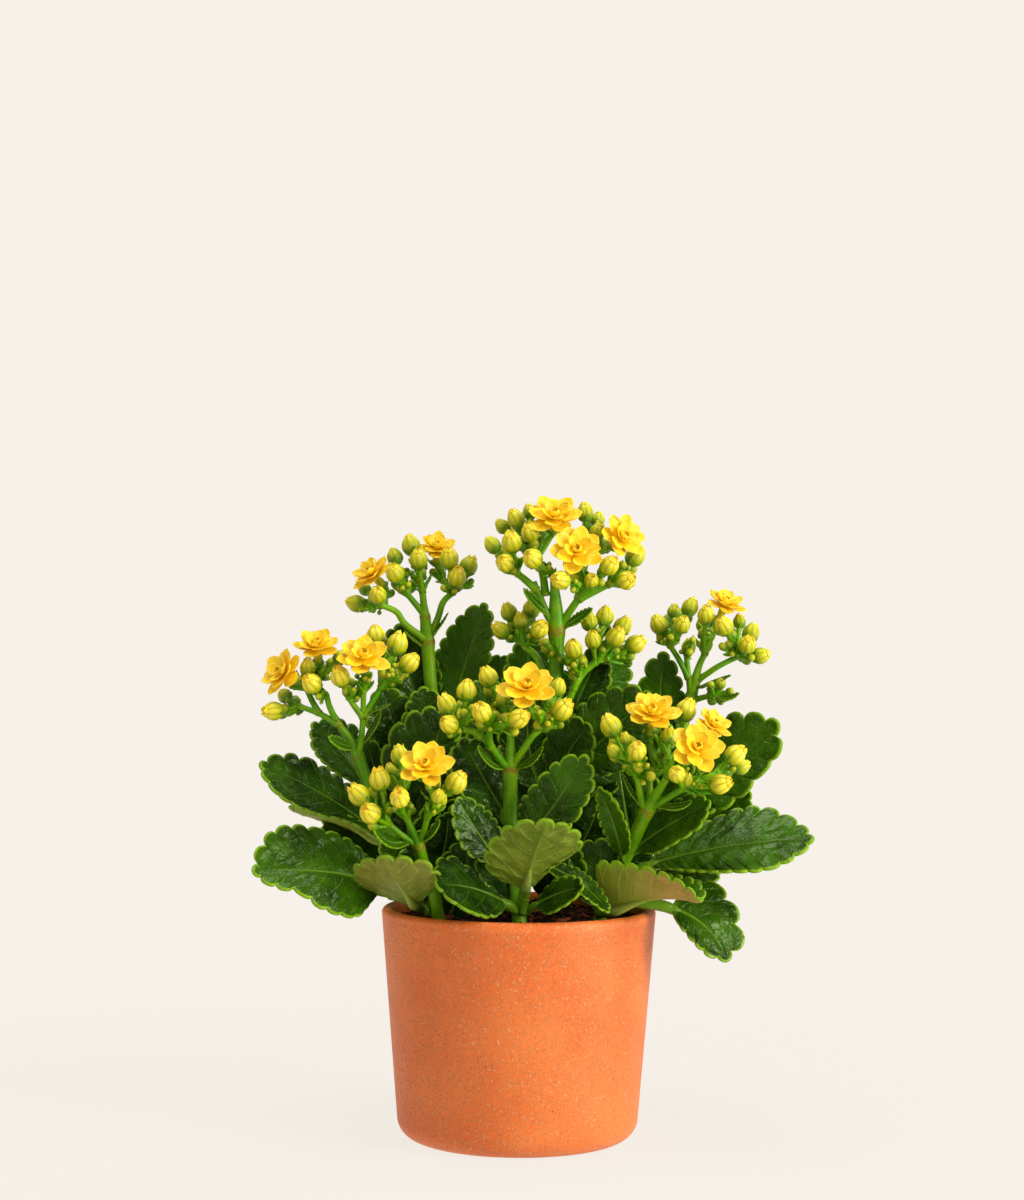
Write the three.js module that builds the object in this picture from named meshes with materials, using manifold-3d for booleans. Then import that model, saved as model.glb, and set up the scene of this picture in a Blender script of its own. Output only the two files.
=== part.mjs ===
// A potted kalanchoe with double yellow flowers, in a tapered clay pot.
// Millimetres, +Z up, the viewer on the -Y side. The origin is the middle of the pot's underside.
import * as THREE from 'three';
import { mergeVertices } from 'three/addons/utils/BufferGeometryUtils.js';
import Module from 'manifold-3d';

const wasm = await Module();
wasm.setup();

// ---- driving dimensions -------------------------------------------------------------------

const POT_HEIGHT = 84;
const POT_RIM_RADIUS = 50;
const POT_BASE_RADIUS = 44;
const POT_WALL = 4;
const POT_FLOOR = 6;
const POT_FOOT_ROUND = 8;
const POT_SIDES = 32;
const DRAIN_HOLES = 3;
const DRAIN_RADIUS = 4;
const DRAIN_CIRCLE = 22;
const DRAIN_SIDES = 12;

const SOIL_BELOW_LIP = 5;
const SOIL_MOUND = 3;
const SOIL_CROWN_SHARE = 0.33;
const SOIL_SLOPE_SHARE = 0.66;
const SOIL_SLOPE_RISE = 0.7;
const SOIL_BUMP = 0.8;
const SOIL_BUMP_WAVE = 1.3;
const ROOT_GAP = 1;

const GAP = 0.3;
const CUT_GAP = 0.35;

const STEM_SIDES = 6;
const BRANCH_SIDES = 4;
const BRANCH_SHARE = 0.62;
const BUD_SIDES = 4;
const BUD_WIDE = 1.15;
const BUD_LONG = 1.3;
const BUD_STALK_RADIUS = 0.7;
const FLOWER_STALK_RADIUS = 0.9;
const FLOWER_TUBE = 8;
const FLOWER_PETALS = 7;
const FLOWER_NOTCH = 0.72;
const TUBE_RADIUS = 2.2;
const OUTER_PETAL_RISE = 0.6;
const CUP_OUTER_SHARE = 0.5;
const CUP_OUTER_RISE = 1.6;
const INNER_PETAL_SHARE = 0.45;
const INNER_PETAL_RISE = 4;
const CUP_DEPTH_SHARE = 0.5;

const PETIOLE_HALF_WIDTH = 1.7;
const PETIOLE_HALF_THICKNESS = 1.2;
const BLADE_HALF_THICKNESS = 0.9;
const EDGE_HALF_THICKNESS = 0.6;
const PETIOLE_ROWS = 2;
const BLADE_ROWS = 8;
const BRACT_ROWS = 2;
const BRACT_NECK = 0.12;
const BRACT_CUP = 0.2;
const NOTCH = 0.86;
const BELLY = 1.1;
const TIP_TURN = 0.95 * Math.PI;
const TIP_FULLNESS = 0.5;
const STALK_WIDTH_SHARE = 0.2;
const FULL_THICKNESS_WIDTH = 12;

// ---- materials ----------------------------------------------------------------------------

const paint = (color, roughness) => new THREE.MeshStandardMaterial({ color, roughness, metalness: 0 });
const clay = () => paint(0xe07a3f, 0.65);
const mould = () => paint(0x2c1c12, 0.95);
const stemGreen = () => paint(0x4f8516, 0.45);
const leafGreen = () => paint(0x2f5a14, 0.32);
const petalYellow = () => paint(0xfcd030, 0.5);

// ---- solids -------------------------------------------------------------------------------

const vector = (xyz) => new THREE.Vector3(...xyz);

// A closed geometry as a solid that can be joined and cut.
function solidOf(geometry) {
  const bare = new THREE.BufferGeometry();
  bare.setAttribute('position', geometry.attributes.position);
  if (geometry.index) bare.setIndex(geometry.index);
  const merged = mergeVertices(bare, 1e-4);
  const corners = merged.index.array;
  const kept = [];
  for (let i = 0; i < corners.length; i += 3) {
    const [a, b, c] = corners.slice(i, i + 3);
    if (a !== b && b !== c && c !== a) kept.push(a, b, c);
  }
  return new wasm.Manifold(new wasm.Mesh({
    numProp: 3,
    vertProperties: new Float32Array(merged.attributes.position.array),
    triVerts: new Uint32Array(kept),
  }));
}

function joined(solids) {
  return solids.reduce((whole, next) => whole.add(next));
}

function largestBody(solid) {
  const bodies = solid.decompose();
  return bodies.reduce((best, body) => (body.volume() > best.volume() ? body : best));
}

function meshOf(name, solid, material) {
  const { numVert, numProp, vertProperties, triVerts } = solid.getMesh();
  const places = new Float32Array(numVert * 3);
  for (let i = 0; i < numVert; i += 1) {
    places.set(vertProperties.subarray(i * numProp, i * numProp + 3), i * 3);
  }
  const geometry = new THREE.BufferGeometry();
  geometry.setAttribute('position', new THREE.BufferAttribute(places, 3));
  geometry.setIndex(new THREE.BufferAttribute(new Uint32Array(triVerts), 1));
  geometry.computeVertexNormals();
  const mesh = new THREE.Mesh(geometry, material);
  mesh.name = name;
  return mesh;
}

// A round rod along a smooth curve through the points.
function rod(points, radius, sides) {
  const section = new THREE.Shape();
  for (let i = 0; i < sides; i += 1) {
    const angle = (i / sides) * 2 * Math.PI;
    const corner = [radius * Math.cos(angle), radius * Math.sin(angle)];
    if (i === 0) section.moveTo(...corner);
    else section.lineTo(...corner);
  }
  section.closePath();
  const path = new THREE.CatmullRomCurve3(points.map(vector), false, 'centripetal');
  const steps = points.length - 1;
  const geometry = new THREE.ExtrudeGeometry(section, { extrudePath: path, steps, bevelEnabled: false });
  return solidOf(geometry);
}

// Turns a shape whose axis is +Y to point along the axis, and puts its origin at the place.
function aimed(geometry, axis, place) {
  const turn = new THREE.Quaternion().setFromUnitVectors(new THREE.Vector3(0, 1, 0), axis);
  geometry.applyQuaternion(turn);
  geometry.translate(place.x, place.y, place.z);
  return solidOf(geometry);
}

// ---- pot ----------------------------------------------------------------------------------

function potSolid() {
  const profile = [];
  const arc = (x, z, radius, from, to, steps) => {
    for (let i = 0; i <= steps; i += 1) {
      const angle = THREE.MathUtils.degToRad(from + ((to - from) * i) / steps);
      profile.push(new THREE.Vector2(x + radius * Math.cos(angle), z + radius * Math.sin(angle)));
    }
  };
  const lip = POT_WALL / 2;
  profile.push(new THREE.Vector2(0, 0));
  arc(POT_BASE_RADIUS - POT_FOOT_ROUND, POT_FOOT_ROUND, POT_FOOT_ROUND, -90, 0, 4);
  arc(POT_RIM_RADIUS - lip, POT_HEIGHT - lip, lip, 0, 180, 4);
  profile.push(new THREE.Vector2(POT_BASE_RADIUS - POT_WALL, POT_FLOOR + POT_WALL));
  profile.push(new THREE.Vector2(POT_BASE_RADIUS - 2 * POT_WALL, POT_FLOOR));
  profile.push(new THREE.Vector2(0, POT_FLOOR));
  const body = new THREE.LatheGeometry(profile, POT_SIDES).rotateX(Math.PI / 2);
  const holes = [];
  for (let i = 0; i < DRAIN_HOLES; i += 1) {
    const angle = ((i + 0.5) / DRAIN_HOLES) * 2 * Math.PI;
    const hole = new THREE.CylinderGeometry(DRAIN_RADIUS, DRAIN_RADIUS, 3 * POT_FLOOR, DRAIN_SIDES);
    hole.rotateX(Math.PI / 2);
    hole.translate(DRAIN_CIRCLE * Math.cos(angle), DRAIN_CIRCLE * Math.sin(angle), 0);
    holes.push(solidOf(hole));
  }
  return solidOf(body).subtract(joined(holes));
}

// ---- soil ---------------------------------------------------------------------------------

const SOIL_EDGE_HEIGHT = POT_HEIGHT - SOIL_BELOW_LIP;

function innerRadius(height) {
  const low = POT_FLOOR + POT_WALL;
  const rise = (height - low) / (POT_HEIGHT - POT_WALL / 2 - low);
  return THREE.MathUtils.lerp(POT_BASE_RADIUS, POT_RIM_RADIUS, rise) - POT_WALL;
}

function soilSolid() {
  const faceted = Math.cos(Math.PI / POT_SIDES);
  const low = POT_FLOOR + POT_WALL;
  const profile = [
    [0, POT_FLOOR + GAP],
    [(POT_BASE_RADIUS - 2 * POT_WALL) * faceted - GAP, POT_FLOOR + GAP],
    [innerRadius(low) * faceted - GAP, low + GAP],
    [innerRadius(SOIL_EDGE_HEIGHT) * faceted - GAP, SOIL_EDGE_HEIGHT],
    [innerRadius(SOIL_EDGE_HEIGHT) * SOIL_SLOPE_SHARE, SOIL_EDGE_HEIGHT + SOIL_MOUND * SOIL_SLOPE_RISE],
    [innerRadius(SOIL_EDGE_HEIGHT) * SOIL_CROWN_SHARE, SOIL_EDGE_HEIGHT + SOIL_MOUND],
    [0, SOIL_EDGE_HEIGHT + SOIL_MOUND],
  ];
  const points = profile.map(([x, z]) => new THREE.Vector2(x, z));
  const body = new THREE.LatheGeometry(points, POT_SIDES / 2).rotateX(Math.PI / 2);
  const place = body.attributes.position;
  for (let i = 0; i < place.count; i += 1) {
    const top = place.getZ(i) > SOIL_EDGE_HEIGHT + GAP;
    const bump = SOIL_BUMP * Math.sin(place.getX(i)) * Math.cos(SOIL_BUMP_WAVE * place.getY(i));
    if (top) place.setZ(i, place.getZ(i) + bump);
  }
  return solidOf(body);
}

// ---- flower stems -------------------------------------------------------------------------
// Each stem grew as one piece: the main stem, its branches, small bracts and closed buds.
// A bud is [x, y, z, radius] at its middle, and hangs on the nearest branch end.

const stems = [
  {
    name: 'stem_top',
    radius: 2.3,
    path: [[10, 4, 74], [12, 5, 123], [13, 6, 163], [13, 5, 182], [12, 3, 197], [11.8, 0, 205]],
    branches: [
      [[12, 4, 196], [9, 1, 203], [7.4, -2, 209]],
      [[12.9, 5, 183], [16, 4, 189], [21, 0, 200], [25.2, -4, 208.6]],
      [[13, 6, 158], [9, 6, 167], [6, 6, 174.7], [1.5, 8, 179]],
      [[13, 6, 150], [17.6, 4, 159], [21.2, 3, 168]],
      [[19, 4, 163], [23, 4, 169.5], [27.7, 4, 173.5]],
    ],
    buds: [
      [-2, 6, 225.8, 3.2], [-7, 12, 223.2, 2.6], [-10.6, 4, 216.1, 2.9], [-3.6, -8, 217, 3.6],
      [4, -14, 211, 3.6], [-5.8, -10, 209.4, 3.3], [3.1, 0, 220.6, 3.3], [3, 14, 228.7, 2.6],
      [23.4, 8, 228.5, 3.1], [28.2, 12, 225.9, 2.6], [27.9, 4, 221.2, 2.9], [14.1, -18, 203.3, 3.4],
      [25.4, -10, 203.4, 2.7], [31.8, -12, 208.7, 3.4], [38.2, -8, 203.5, 3.4],
      [41.9, 4, 212.4, 3.5],
      [-4.4, 14, 191.4, 3.1], [4, 14, 192.9, 3.2], [0, 8, 188.5, 2.7], [-7.3, 10, 184.8, 3.1],
      [6.8, 0, 185.4, 3.3],
      [19.1, -4, 178.3, 3.3], [25.2, 8, 188.3, 3.1], [31.1, 10, 190.2, 3.3], [37.7, 12, 186.5, 3.3],
      [26.4, 0, 181.6, 3], [34.7, 0, 182.7, 3.5], [42.3, 6, 180.1, 3.4],
    ],
    bracts: [
      { base: [14, 4, 185], bend: [21, 2, 189], tip: [26, 0, 193], width: 4.5, face: [-0.4, -0.3, 0.9] },
      { base: [12, 3, 191], bend: [6, 0, 194], tip: [2, -2, 200], width: 4, face: [0.5, -0.3, 0.8] },
    ],
  },
  {
    name: 'stem_upper_left',
    radius: 2.2,
    path: [[-22.7, 14, 74], [-27, 20, 121], [-32.4, 22, 154], [-34.8, 22, 180], [-36.6, 17, 198.5]],
    branches: [
      [[-34.6, 22, 178], [-40, 19, 184], [-45, 16, 189.4], [-51.7, 14, 192.3]],
      [[-35.8, 20, 190], [-39, 18, 194], [-42.3, 16, 198]],
      [[-34.8, 22, 180], [-31, 21, 189], [-29, 20, 195], [-25.5, 20, 198.6]],
    ],
    buds: [
      [-41.3, 24, 216.2, 3.5], [-47.4, 26, 211.8, 3], [-46.5, 8, 205.6, 3.4], [-38, 12, 210.8, 3.4],
      [-26.7, 14, 211.3, 3.5], [-19.7, 24, 208.6, 3.4], [-23.8, 14, 204.4, 3.5],
      [-61.3, 16, 194.3, 3.2], [-52.7, 6, 197.6, 3.2], [-58.5, 24, 199.7, 2.4],
    ],
    bracts: [
      { base: [-34, 21, 182], bend: [-30, 20, 185], tip: [-27, 18, 191], width: 3, face: [-0.6, -0.3, 0.7] },
      { base: [-36, 21, 179], bend: [-40, 18, 180], tip: [-43, 16, 184], width: 3, face: [0.5, -0.3, 0.8] },
    ],
  },
  {
    name: 'stem_left',
    radius: 2,
    path: [[-29, -8, 74], [-43.9, -5, 104.8], [-53.7, -2, 124.5], [-60.4, -4, 142.2], [-66.4, -6, 150.6],
      [-73.8, -6, 154.8], [-80, -4, 156]],
    branches: [
      [[-65, -6, 149], [-68, -7, 154], [-69.2, -8, 158.2]],
      [[-59, -4, 138], [-57.5, -7, 147], [-57, -8, 153.9], [-56.8, -10, 162.3]],
      [[-57, -8, 153], [-60, -9, 157], [-62, -10, 160.1]],
      [[-57, -8, 153], [-53.5, -8, 159], [-50.7, -8, 163.8]],
    ],
    buds: [
      [-77.7, -2, 170.8, 2.8], [-75.2, -14, 165.4, 3.5], [-64.9, -16, 168.1, 3.5], [-53.1, 2, 182.3, 3.6],
      [-44.9, -4, 179.7, 3.8], [-40.3, -8, 172.9, 3.4], [-89.6, -8, 155.1, 3.4], [-86.4, 4, 160.2, 2.7],
      [-66, 2, 174.5, 2.6],
    ],
    bracts: [
      { base: [-57, -8, 154], bend: [-51, -10, 156], tip: [-47, -12, 158], width: 2.6, face: [0, -0.4, 0.9] },
      { base: [-58, -5, 143], bend: [-53, -6, 148], tip: [-51, -4, 155],
        width: 3.5, face: [-0.6, -0.6, 0.5] },
      { base: [-60, -5, 142], bend: [-64, -10, 142], tip: [-69, -12, 146], width: 6, face: [0.2, -0.6, 0.8] },
    ],
  },
  {
    name: 'stem_upper_right',
    radius: 2,
    path: [[34.9, 16, 74], [43, 18, 100], [52.7, 20, 121.7], [58.7, 22, 142.2], [63.9, 24, 159.3],
      [66.8, 24, 171], [69, 23, 176.3]],
    branches: [
      [[64, 24, 159.3], [63, 23, 168], [62, 22, 176.3]],
      [[63, 23, 167], [60, 22.5, 173], [56.1, 22, 179.2]],
      [[66, 24, 166], [70, 22, 169], [74.5, 20, 172.1], [81.8, 20, 175.8]],
    ],
    buds: [
      [51.7, 22, 187.1, 3.3], [57.8, 29, 191.9, 2.6], [63.7, 27, 193.8, 3.1], [59.8, 14, 187.3, 3.1],
      [68.8, 14, 190.9, 3.2], [75.2, 12, 186.9, 3.5], [82, 24, 188.5, 2.4], [86.4, 24, 184.3, 3.2],
      [84.1, 14, 180.1, 3.3], [89.5, 19, 175.9, 3.1],
    ],
    bracts: [
      { base: [66, 23, 164], bend: [72, 18, 165], tip: [79, 14, 169], width: 5, face: [0, -0.5, 0.9] },
      { base: [64, 23, 160], bend: [73, 16, 157], tip: [81, 12, 163], width: 6, face: [0, -0.6, 0.8] },
    ],
  },
  {
    name: 'stem_front',
    radius: 2.3,
    path: [[0.9, -27, 74], [-1.5, -22, 100], [-3.2, -19, 114.2], [-3.4, -22, 136.1], [-3.5, -25, 151]],
    branches: [
      [[-3.4, -22, 135], [-7, -25, 139], [-10.9, -28, 144.6], [-15.5, -30, 149.2]],
      [[-14, -29.5, 147.5], [-17, -31, 149.5], [-20.5, -32, 150.2]],
      [[-10.4, -28, 143.6], [-11, -31, 147], [-10.9, -34, 151.3]],
      [[-3.4, -22, 136], [0, -25, 141], [4, -28, 147.4], [8, -28, 151.1]],
    ],
    buds: [
      [-11.6, -22, 168.4, 3.4], [-19.2, -27, 163.6, 3.5], [-26.2, -30, 158.9, 3.4], [-25.1, -38, 152.2, 3.3],
      [-13.6, -42, 156.8, 3.5], [-6.8, -26, 160.3, 2.1], [-0.6, -44, 154.7, 3.4], [13.2, -22, 164.7, 3],
      [14.7, -32, 157.3, 3.7],
    ],
    bracts: [
      { base: [-4, -22, 136], bend: [-11, -27, 136], tip: [-15, -30, 144], width: 5, face: [0.5, -0.5, 0.7] },
      { base: [-3, -22, 136], bend: [5, -27, 137], tip: [8, -30, 144], width: 4.5, face: [-0.5, -0.5, 0.7] },
    ],
  },
  {
    name: 'stem_front_left',
    radius: 2,
    path: [[-27.3, -24, 74], [-30, -28, 91], [-33.4, -32, 101], [-36, -36, 110.5], [-39.5, -40, 119.3]],
    branches: [
      [[-35.6, -35.5, 109], [-41, -38, 113], [-45.7, -40, 117.1]],
      [[-35.6, -35.5, 109.5], [-33.5, -39, 115], [-32.3, -42, 120]],
    ],
    buds: [
      [-49.1, -42, 133, 3.6], [-56.4, -42, 127.6, 3.6], [-51.9, -50, 121.9, 3.6], [-41.5, -55, 127.6, 3.4],
      [-28.2, -54, 128.1, 2.5], [-22.3, -44, 132.2, 3.7], [-42.5, -33, 140.8, 3.2], [-45.5, -34, 135.6, 2.3],
    ],
    bracts: [
      { base: [-38, -36, 111], bend: [-47, -42, 108], tip: [-51, -44, 117],
        width: 8, face: [0.4, -0.4, 0.8] },
      { base: [-35, -36, 111], bend: [-30, -40, 113], tip: [-28, -42, 119],
        width: 4.5, face: [-0.5, -0.5, 0.7] },
    ],
  },
  {
    name: 'stem_front_right',
    radius: 2.2,
    path: [[28.5, -20, 74], [30, -19, 87], [37.5, -24, 104], [45.6, -30, 122.8], [51.3, -40, 134]],
    branches: [
      [[45, -29.5, 121.5], [43, -32, 125], [41, -38, 134.5]],
      [[45.6, -30, 122], [46, -28, 127], [46.2, -26, 133]],
      [[45.6, -30, 122], [51, -35, 126], [57, -40, 130.4]],
    ],
    buds: [
      [31.9, -34, 151.8, 3.7], [36.8, -40, 147.6, 2.1], [32.5, -44, 143.6, 2.3], [40.4, -50, 144.2, 3.2],
      [59.2, -20, 157, 3.7], [52.4, -32, 148.2, 2.8], [53.9, -55, 136.5, 3], [75.4, -38, 142.2, 3.5],
      [78.2, -31, 137.6, 2.8], [69.7, -46, 132.5, 3.5],
    ],
    bracts: [
      { base: [47, -31, 124], bend: [56, -38, 122], tip: [60, -40, 126], width: 4, face: [-0.2, -0.5, 0.8] },
      { base: [44, -30.5, 123], bend: [39, -32, 127], tip: [36, -34, 135], width: 3, face: [0.7, -0.4, 0.5] },
    ],
  },
  {
    name: 'stem_back_right',
    radius: 2.2,
    path: [[12, 31, 74], [16, 36, 92], [22, 41, 108], [24, 44, 117]],
    branches: [
      [[21.5, 40.5, 106], [17, 43, 111], [14, 46, 116]],
      [[21.5, 40.5, 106], [28, 42, 111], [32, 44, 116]],
    ],
    buds: [
      [7, 46, 122, 3.4], [8, 54, 124, 3.5], [15, 57, 121, 3.4], [13, 42, 128, 3.2],
      [40, 42, 121, 3.4], [39, 51, 123, 3.5], [35, 57, 119, 3.2], [33, 41, 128, 3.2], [22, 38, 129, 3.3],
    ],
    bracts: [
      { base: [21, 40, 106], bend: [15, 38, 108], tip: [11, 37, 113], width: 5, face: [0.5, 0.3, 0.8] },
      { base: [22, 40, 107], bend: [28, 38, 109], tip: [31, 37, 114], width: 5, face: [-0.5, 0.3, 0.8] },
    ],
  },
  {
    name: 'stem_back_left',
    radius: 2.2,
    path: [[-14, 28, 74], [-18, 33, 92], [-23, 39, 106], [-25, 42, 115]],
    branches: [
      [[-22.5, 38.5, 104], [-28, 41, 109], [-32, 44, 114]],
      [[-22.5, 38.5, 104], [-18, 42, 109], [-15, 46, 114]],
    ],
    buds: [
      [-39, 41, 120, 3.4], [-40, 50, 122, 3.5], [-35, 56, 118, 3.4], [-33, 40, 126, 3.2],
      [-9, 45, 120, 3.4], [-9, 53, 122, 3.4], [-14, 58, 118, 3.2],
    ],
    bracts: [
      { base: [-23, 38, 105], bend: [-29, 36, 107], tip: [-33, 35, 112], width: 5, face: [0.5, 0.3, 0.8] },
      { base: [-22, 38, 105], bend: [-17, 36, 108], tip: [-13, 35, 112], width: 5, face: [-0.5, 0.3, 0.8] },
    ],
  },
];

// An open flower: the middle of its face, the way it faces, its radius and the stem it grows on.
const flowers = [
  { name: 'flower_top_upper', at: [11.9, 2, 227.3], faces: [0, -0.6, 0.8], radius: 10.5, on: 'stem_top' },
  { name: 'flower_top_front', at: [19.8, -14, 213.8], faces: [0.1, -0.85, 0.5], radius: 10.3,
    on: 'stem_top' },
  { name: 'flower_top_right', at: [35.4, -3, 219.3], faces: [0.72, -0.5, 0.45], radius: 9, on: 'stem_top' },
  { name: 'flower_upper_left_side', at: [-55.3, 14, 205.4], faces: [-0.6, -0.3, 0.7], radius: 8.5,
    on: 'stem_upper_left' },
  { name: 'flower_upper_left_top', at: [-31.5, 28, 216.6], faces: [0.1, 0.1, 1], radius: 7.5,
    on: 'stem_upper_left' },
  { name: 'flower_left_side', at: [-86.2, -6, 169], faces: [-0.75, -0.45, 0.5], radius: 9.5,
    on: 'stem_left' },
  { name: 'flower_left_top', at: [-74.6, 2, 180.1], faces: [0, -0.3, 0.95], radius: 9, on: 'stem_left' },
  { name: 'flower_left_front', at: [-56.5, -16, 175.1], faces: [0.05, -0.68, 0.72], radius: 10.2,
    on: 'stem_left' },
  { name: 'flower_upper_right', at: [76.8, 25, 195.2], faces: [0.3, -0.25, 0.9], radius: 8.2,
    on: 'stem_upper_right' },
  { name: 'flower_front', at: [2.1, -34, 165.2], faces: [0, -0.7, 0.7], radius: 11, on: 'stem_front' },
  { name: 'flower_front_left', at: [-32.9, -48, 138.2], faces: [0, -0.75, 0.65], radius: 10,
    on: 'stem_front_left' },
  { name: 'flower_front_right_upper', at: [46.7, -30, 156.3], faces: [0, -0.6, 0.8], radius: 10.3,
    on: 'stem_front_right' },
  { name: 'flower_front_right_lower', at: [61.1, -48, 145.1], faces: [0.15, -0.88, 0.45], radius: 9.8,
    on: 'stem_front_right' },
  { name: 'flower_front_right_side', at: [68.5, -26, 152], faces: [0.5, -0.4, 0.75], radius: 7.5,
    on: 'stem_front_right' },
  { name: 'flower_back_right_upper', at: [24, 49, 132], faces: [0.05, 0.5, 0.85], radius: 10,
    on: 'stem_back_right' },
  { name: 'flower_back_right_lower', at: [26, 62, 120], faces: [0.1, 0.9, 0.4], radius: 9.5,
    on: 'stem_back_right' },
  { name: 'flower_back_left', at: [-24, 50, 129], faces: [-0.1, 0.6, 0.8], radius: 10.2,
    on: 'stem_back_left' },
];

function nearest(joints, place) {
  return joints.reduce((best, joint) => (
    joint.distanceTo(place) < best.distanceTo(place) ? joint : best
  ));
}

// A closed bud and its stalk, as one club that starts at the branch end.
function budSolid(joint, middle, radius, extra) {
  const axis = middle.clone().sub(joint);
  const reach = axis.length();
  const wide = radius * BUD_WIDE + extra;
  const thin = BUD_STALK_RADIUS + extra;
  const profile = [
    [0, -reach],
    [thin, -reach],
    [thin, -radius],
    [wide, 0],
    [0, BUD_LONG * radius + extra],
  ];
  const club = new THREE.LatheGeometry(profile.map(([x, y]) => new THREE.Vector2(x, y)), BUD_SIDES);
  return aimed(club, axis.normalize(), middle);
}

function flowerFoot(flower) {
  const axis = vector(flower.faces).normalize();
  return vector(flower.at).addScaledVector(axis, -FLOWER_TUBE - GAP);
}

function stemSolid(stem, extra) {
  const pieces = [rod(stem.path, stem.radius + extra, STEM_SIDES)];
  const ends = [stem.path, ...stem.branches].map((path) => vector(path[path.length - 1]));
  stem.branches.forEach((path) => {
    pieces.push(rod(path, BRANCH_SHARE * stem.radius + extra, BRANCH_SIDES));
  });
  stem.buds.forEach(([x, y, z, radius]) => {
    const middle = new THREE.Vector3(x, y, z);
    pieces.push(budSolid(nearest(ends, middle), middle, radius, extra));
  });
  flowers.filter((flower) => flower.on === stem.name).forEach((flower) => {
    const foot = flowerFoot(flower);
    const joint = nearest(ends, foot);
    pieces.push(rod([joint.toArray(), foot.toArray()], FLOWER_STALK_RADIUS + extra, BRANCH_SIDES));
  });
  stem.bracts.forEach((bract) => {
    pieces.push(leafSolid({ ...bract, neck: BRACT_NECK, cup: BRACT_CUP }, extra, BRACT_ROWS));
  });
  return joined(pieces);
}

// ---- open flowers -------------------------------------------------------------------------
// A calyx and tube, a star of outer petals and a smaller cup of inner ones, grown as one piece.
// Each ring of tips is notched between its petals, and the inner petals stand between the outer.

function flowerSolid(flower, extra) {
  const { radius } = flower;
  const profile = [
    [0, -FLOWER_TUBE],
    [TUBE_RADIUS, -FLOWER_TUBE + 1],
    [radius, OUTER_PETAL_RISE],
    [CUP_OUTER_SHARE * radius, CUP_OUTER_RISE],
    [INNER_PETAL_SHARE * radius, INNER_PETAL_RISE],
    [0, CUP_DEPTH_SHARE * INNER_PETAL_RISE],
  ];
  const [outerTips, innerTips] = [2, 4];
  const points = profile.map(([x, z]) => new THREE.Vector2(x, z));
  const body = new THREE.LatheGeometry(points, 2 * FLOWER_PETALS);
  const place = body.attributes.position;
  for (let i = 0; i < place.count; i += 1) {
    const ring = i % points.length;
    const spoke = Math.floor(i / points.length);
    const notched = (ring === outerTips && spoke % 2 === 1) || (ring === innerTips && spoke % 2 === 0);
    const shrink = notched ? FLOWER_NOTCH : 1;
    const x = place.getX(i) * shrink;
    const z = place.getZ(i) * shrink;
    const reach = Math.hypot(x, z);
    const grown = reach > 0 ? (reach + extra) / reach : 1;
    place.setXYZ(i, x * grown, place.getY(i) + (ring > outerTips ? extra : -extra), z * grown);
  }
  return aimed(body, vector(flower.faces).normalize(), vector(flower.at));
}

// ---- leaves -------------------------------------------------------------------------------
// A leaf's midrib bends from base to tip. The neck is the share of it that is bare stalk, face is
// the way the upper side looks, cup is how far the two halves fold up from the midrib, and a belly
// under 1 sets the widest part nearer to the stalk.

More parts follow.
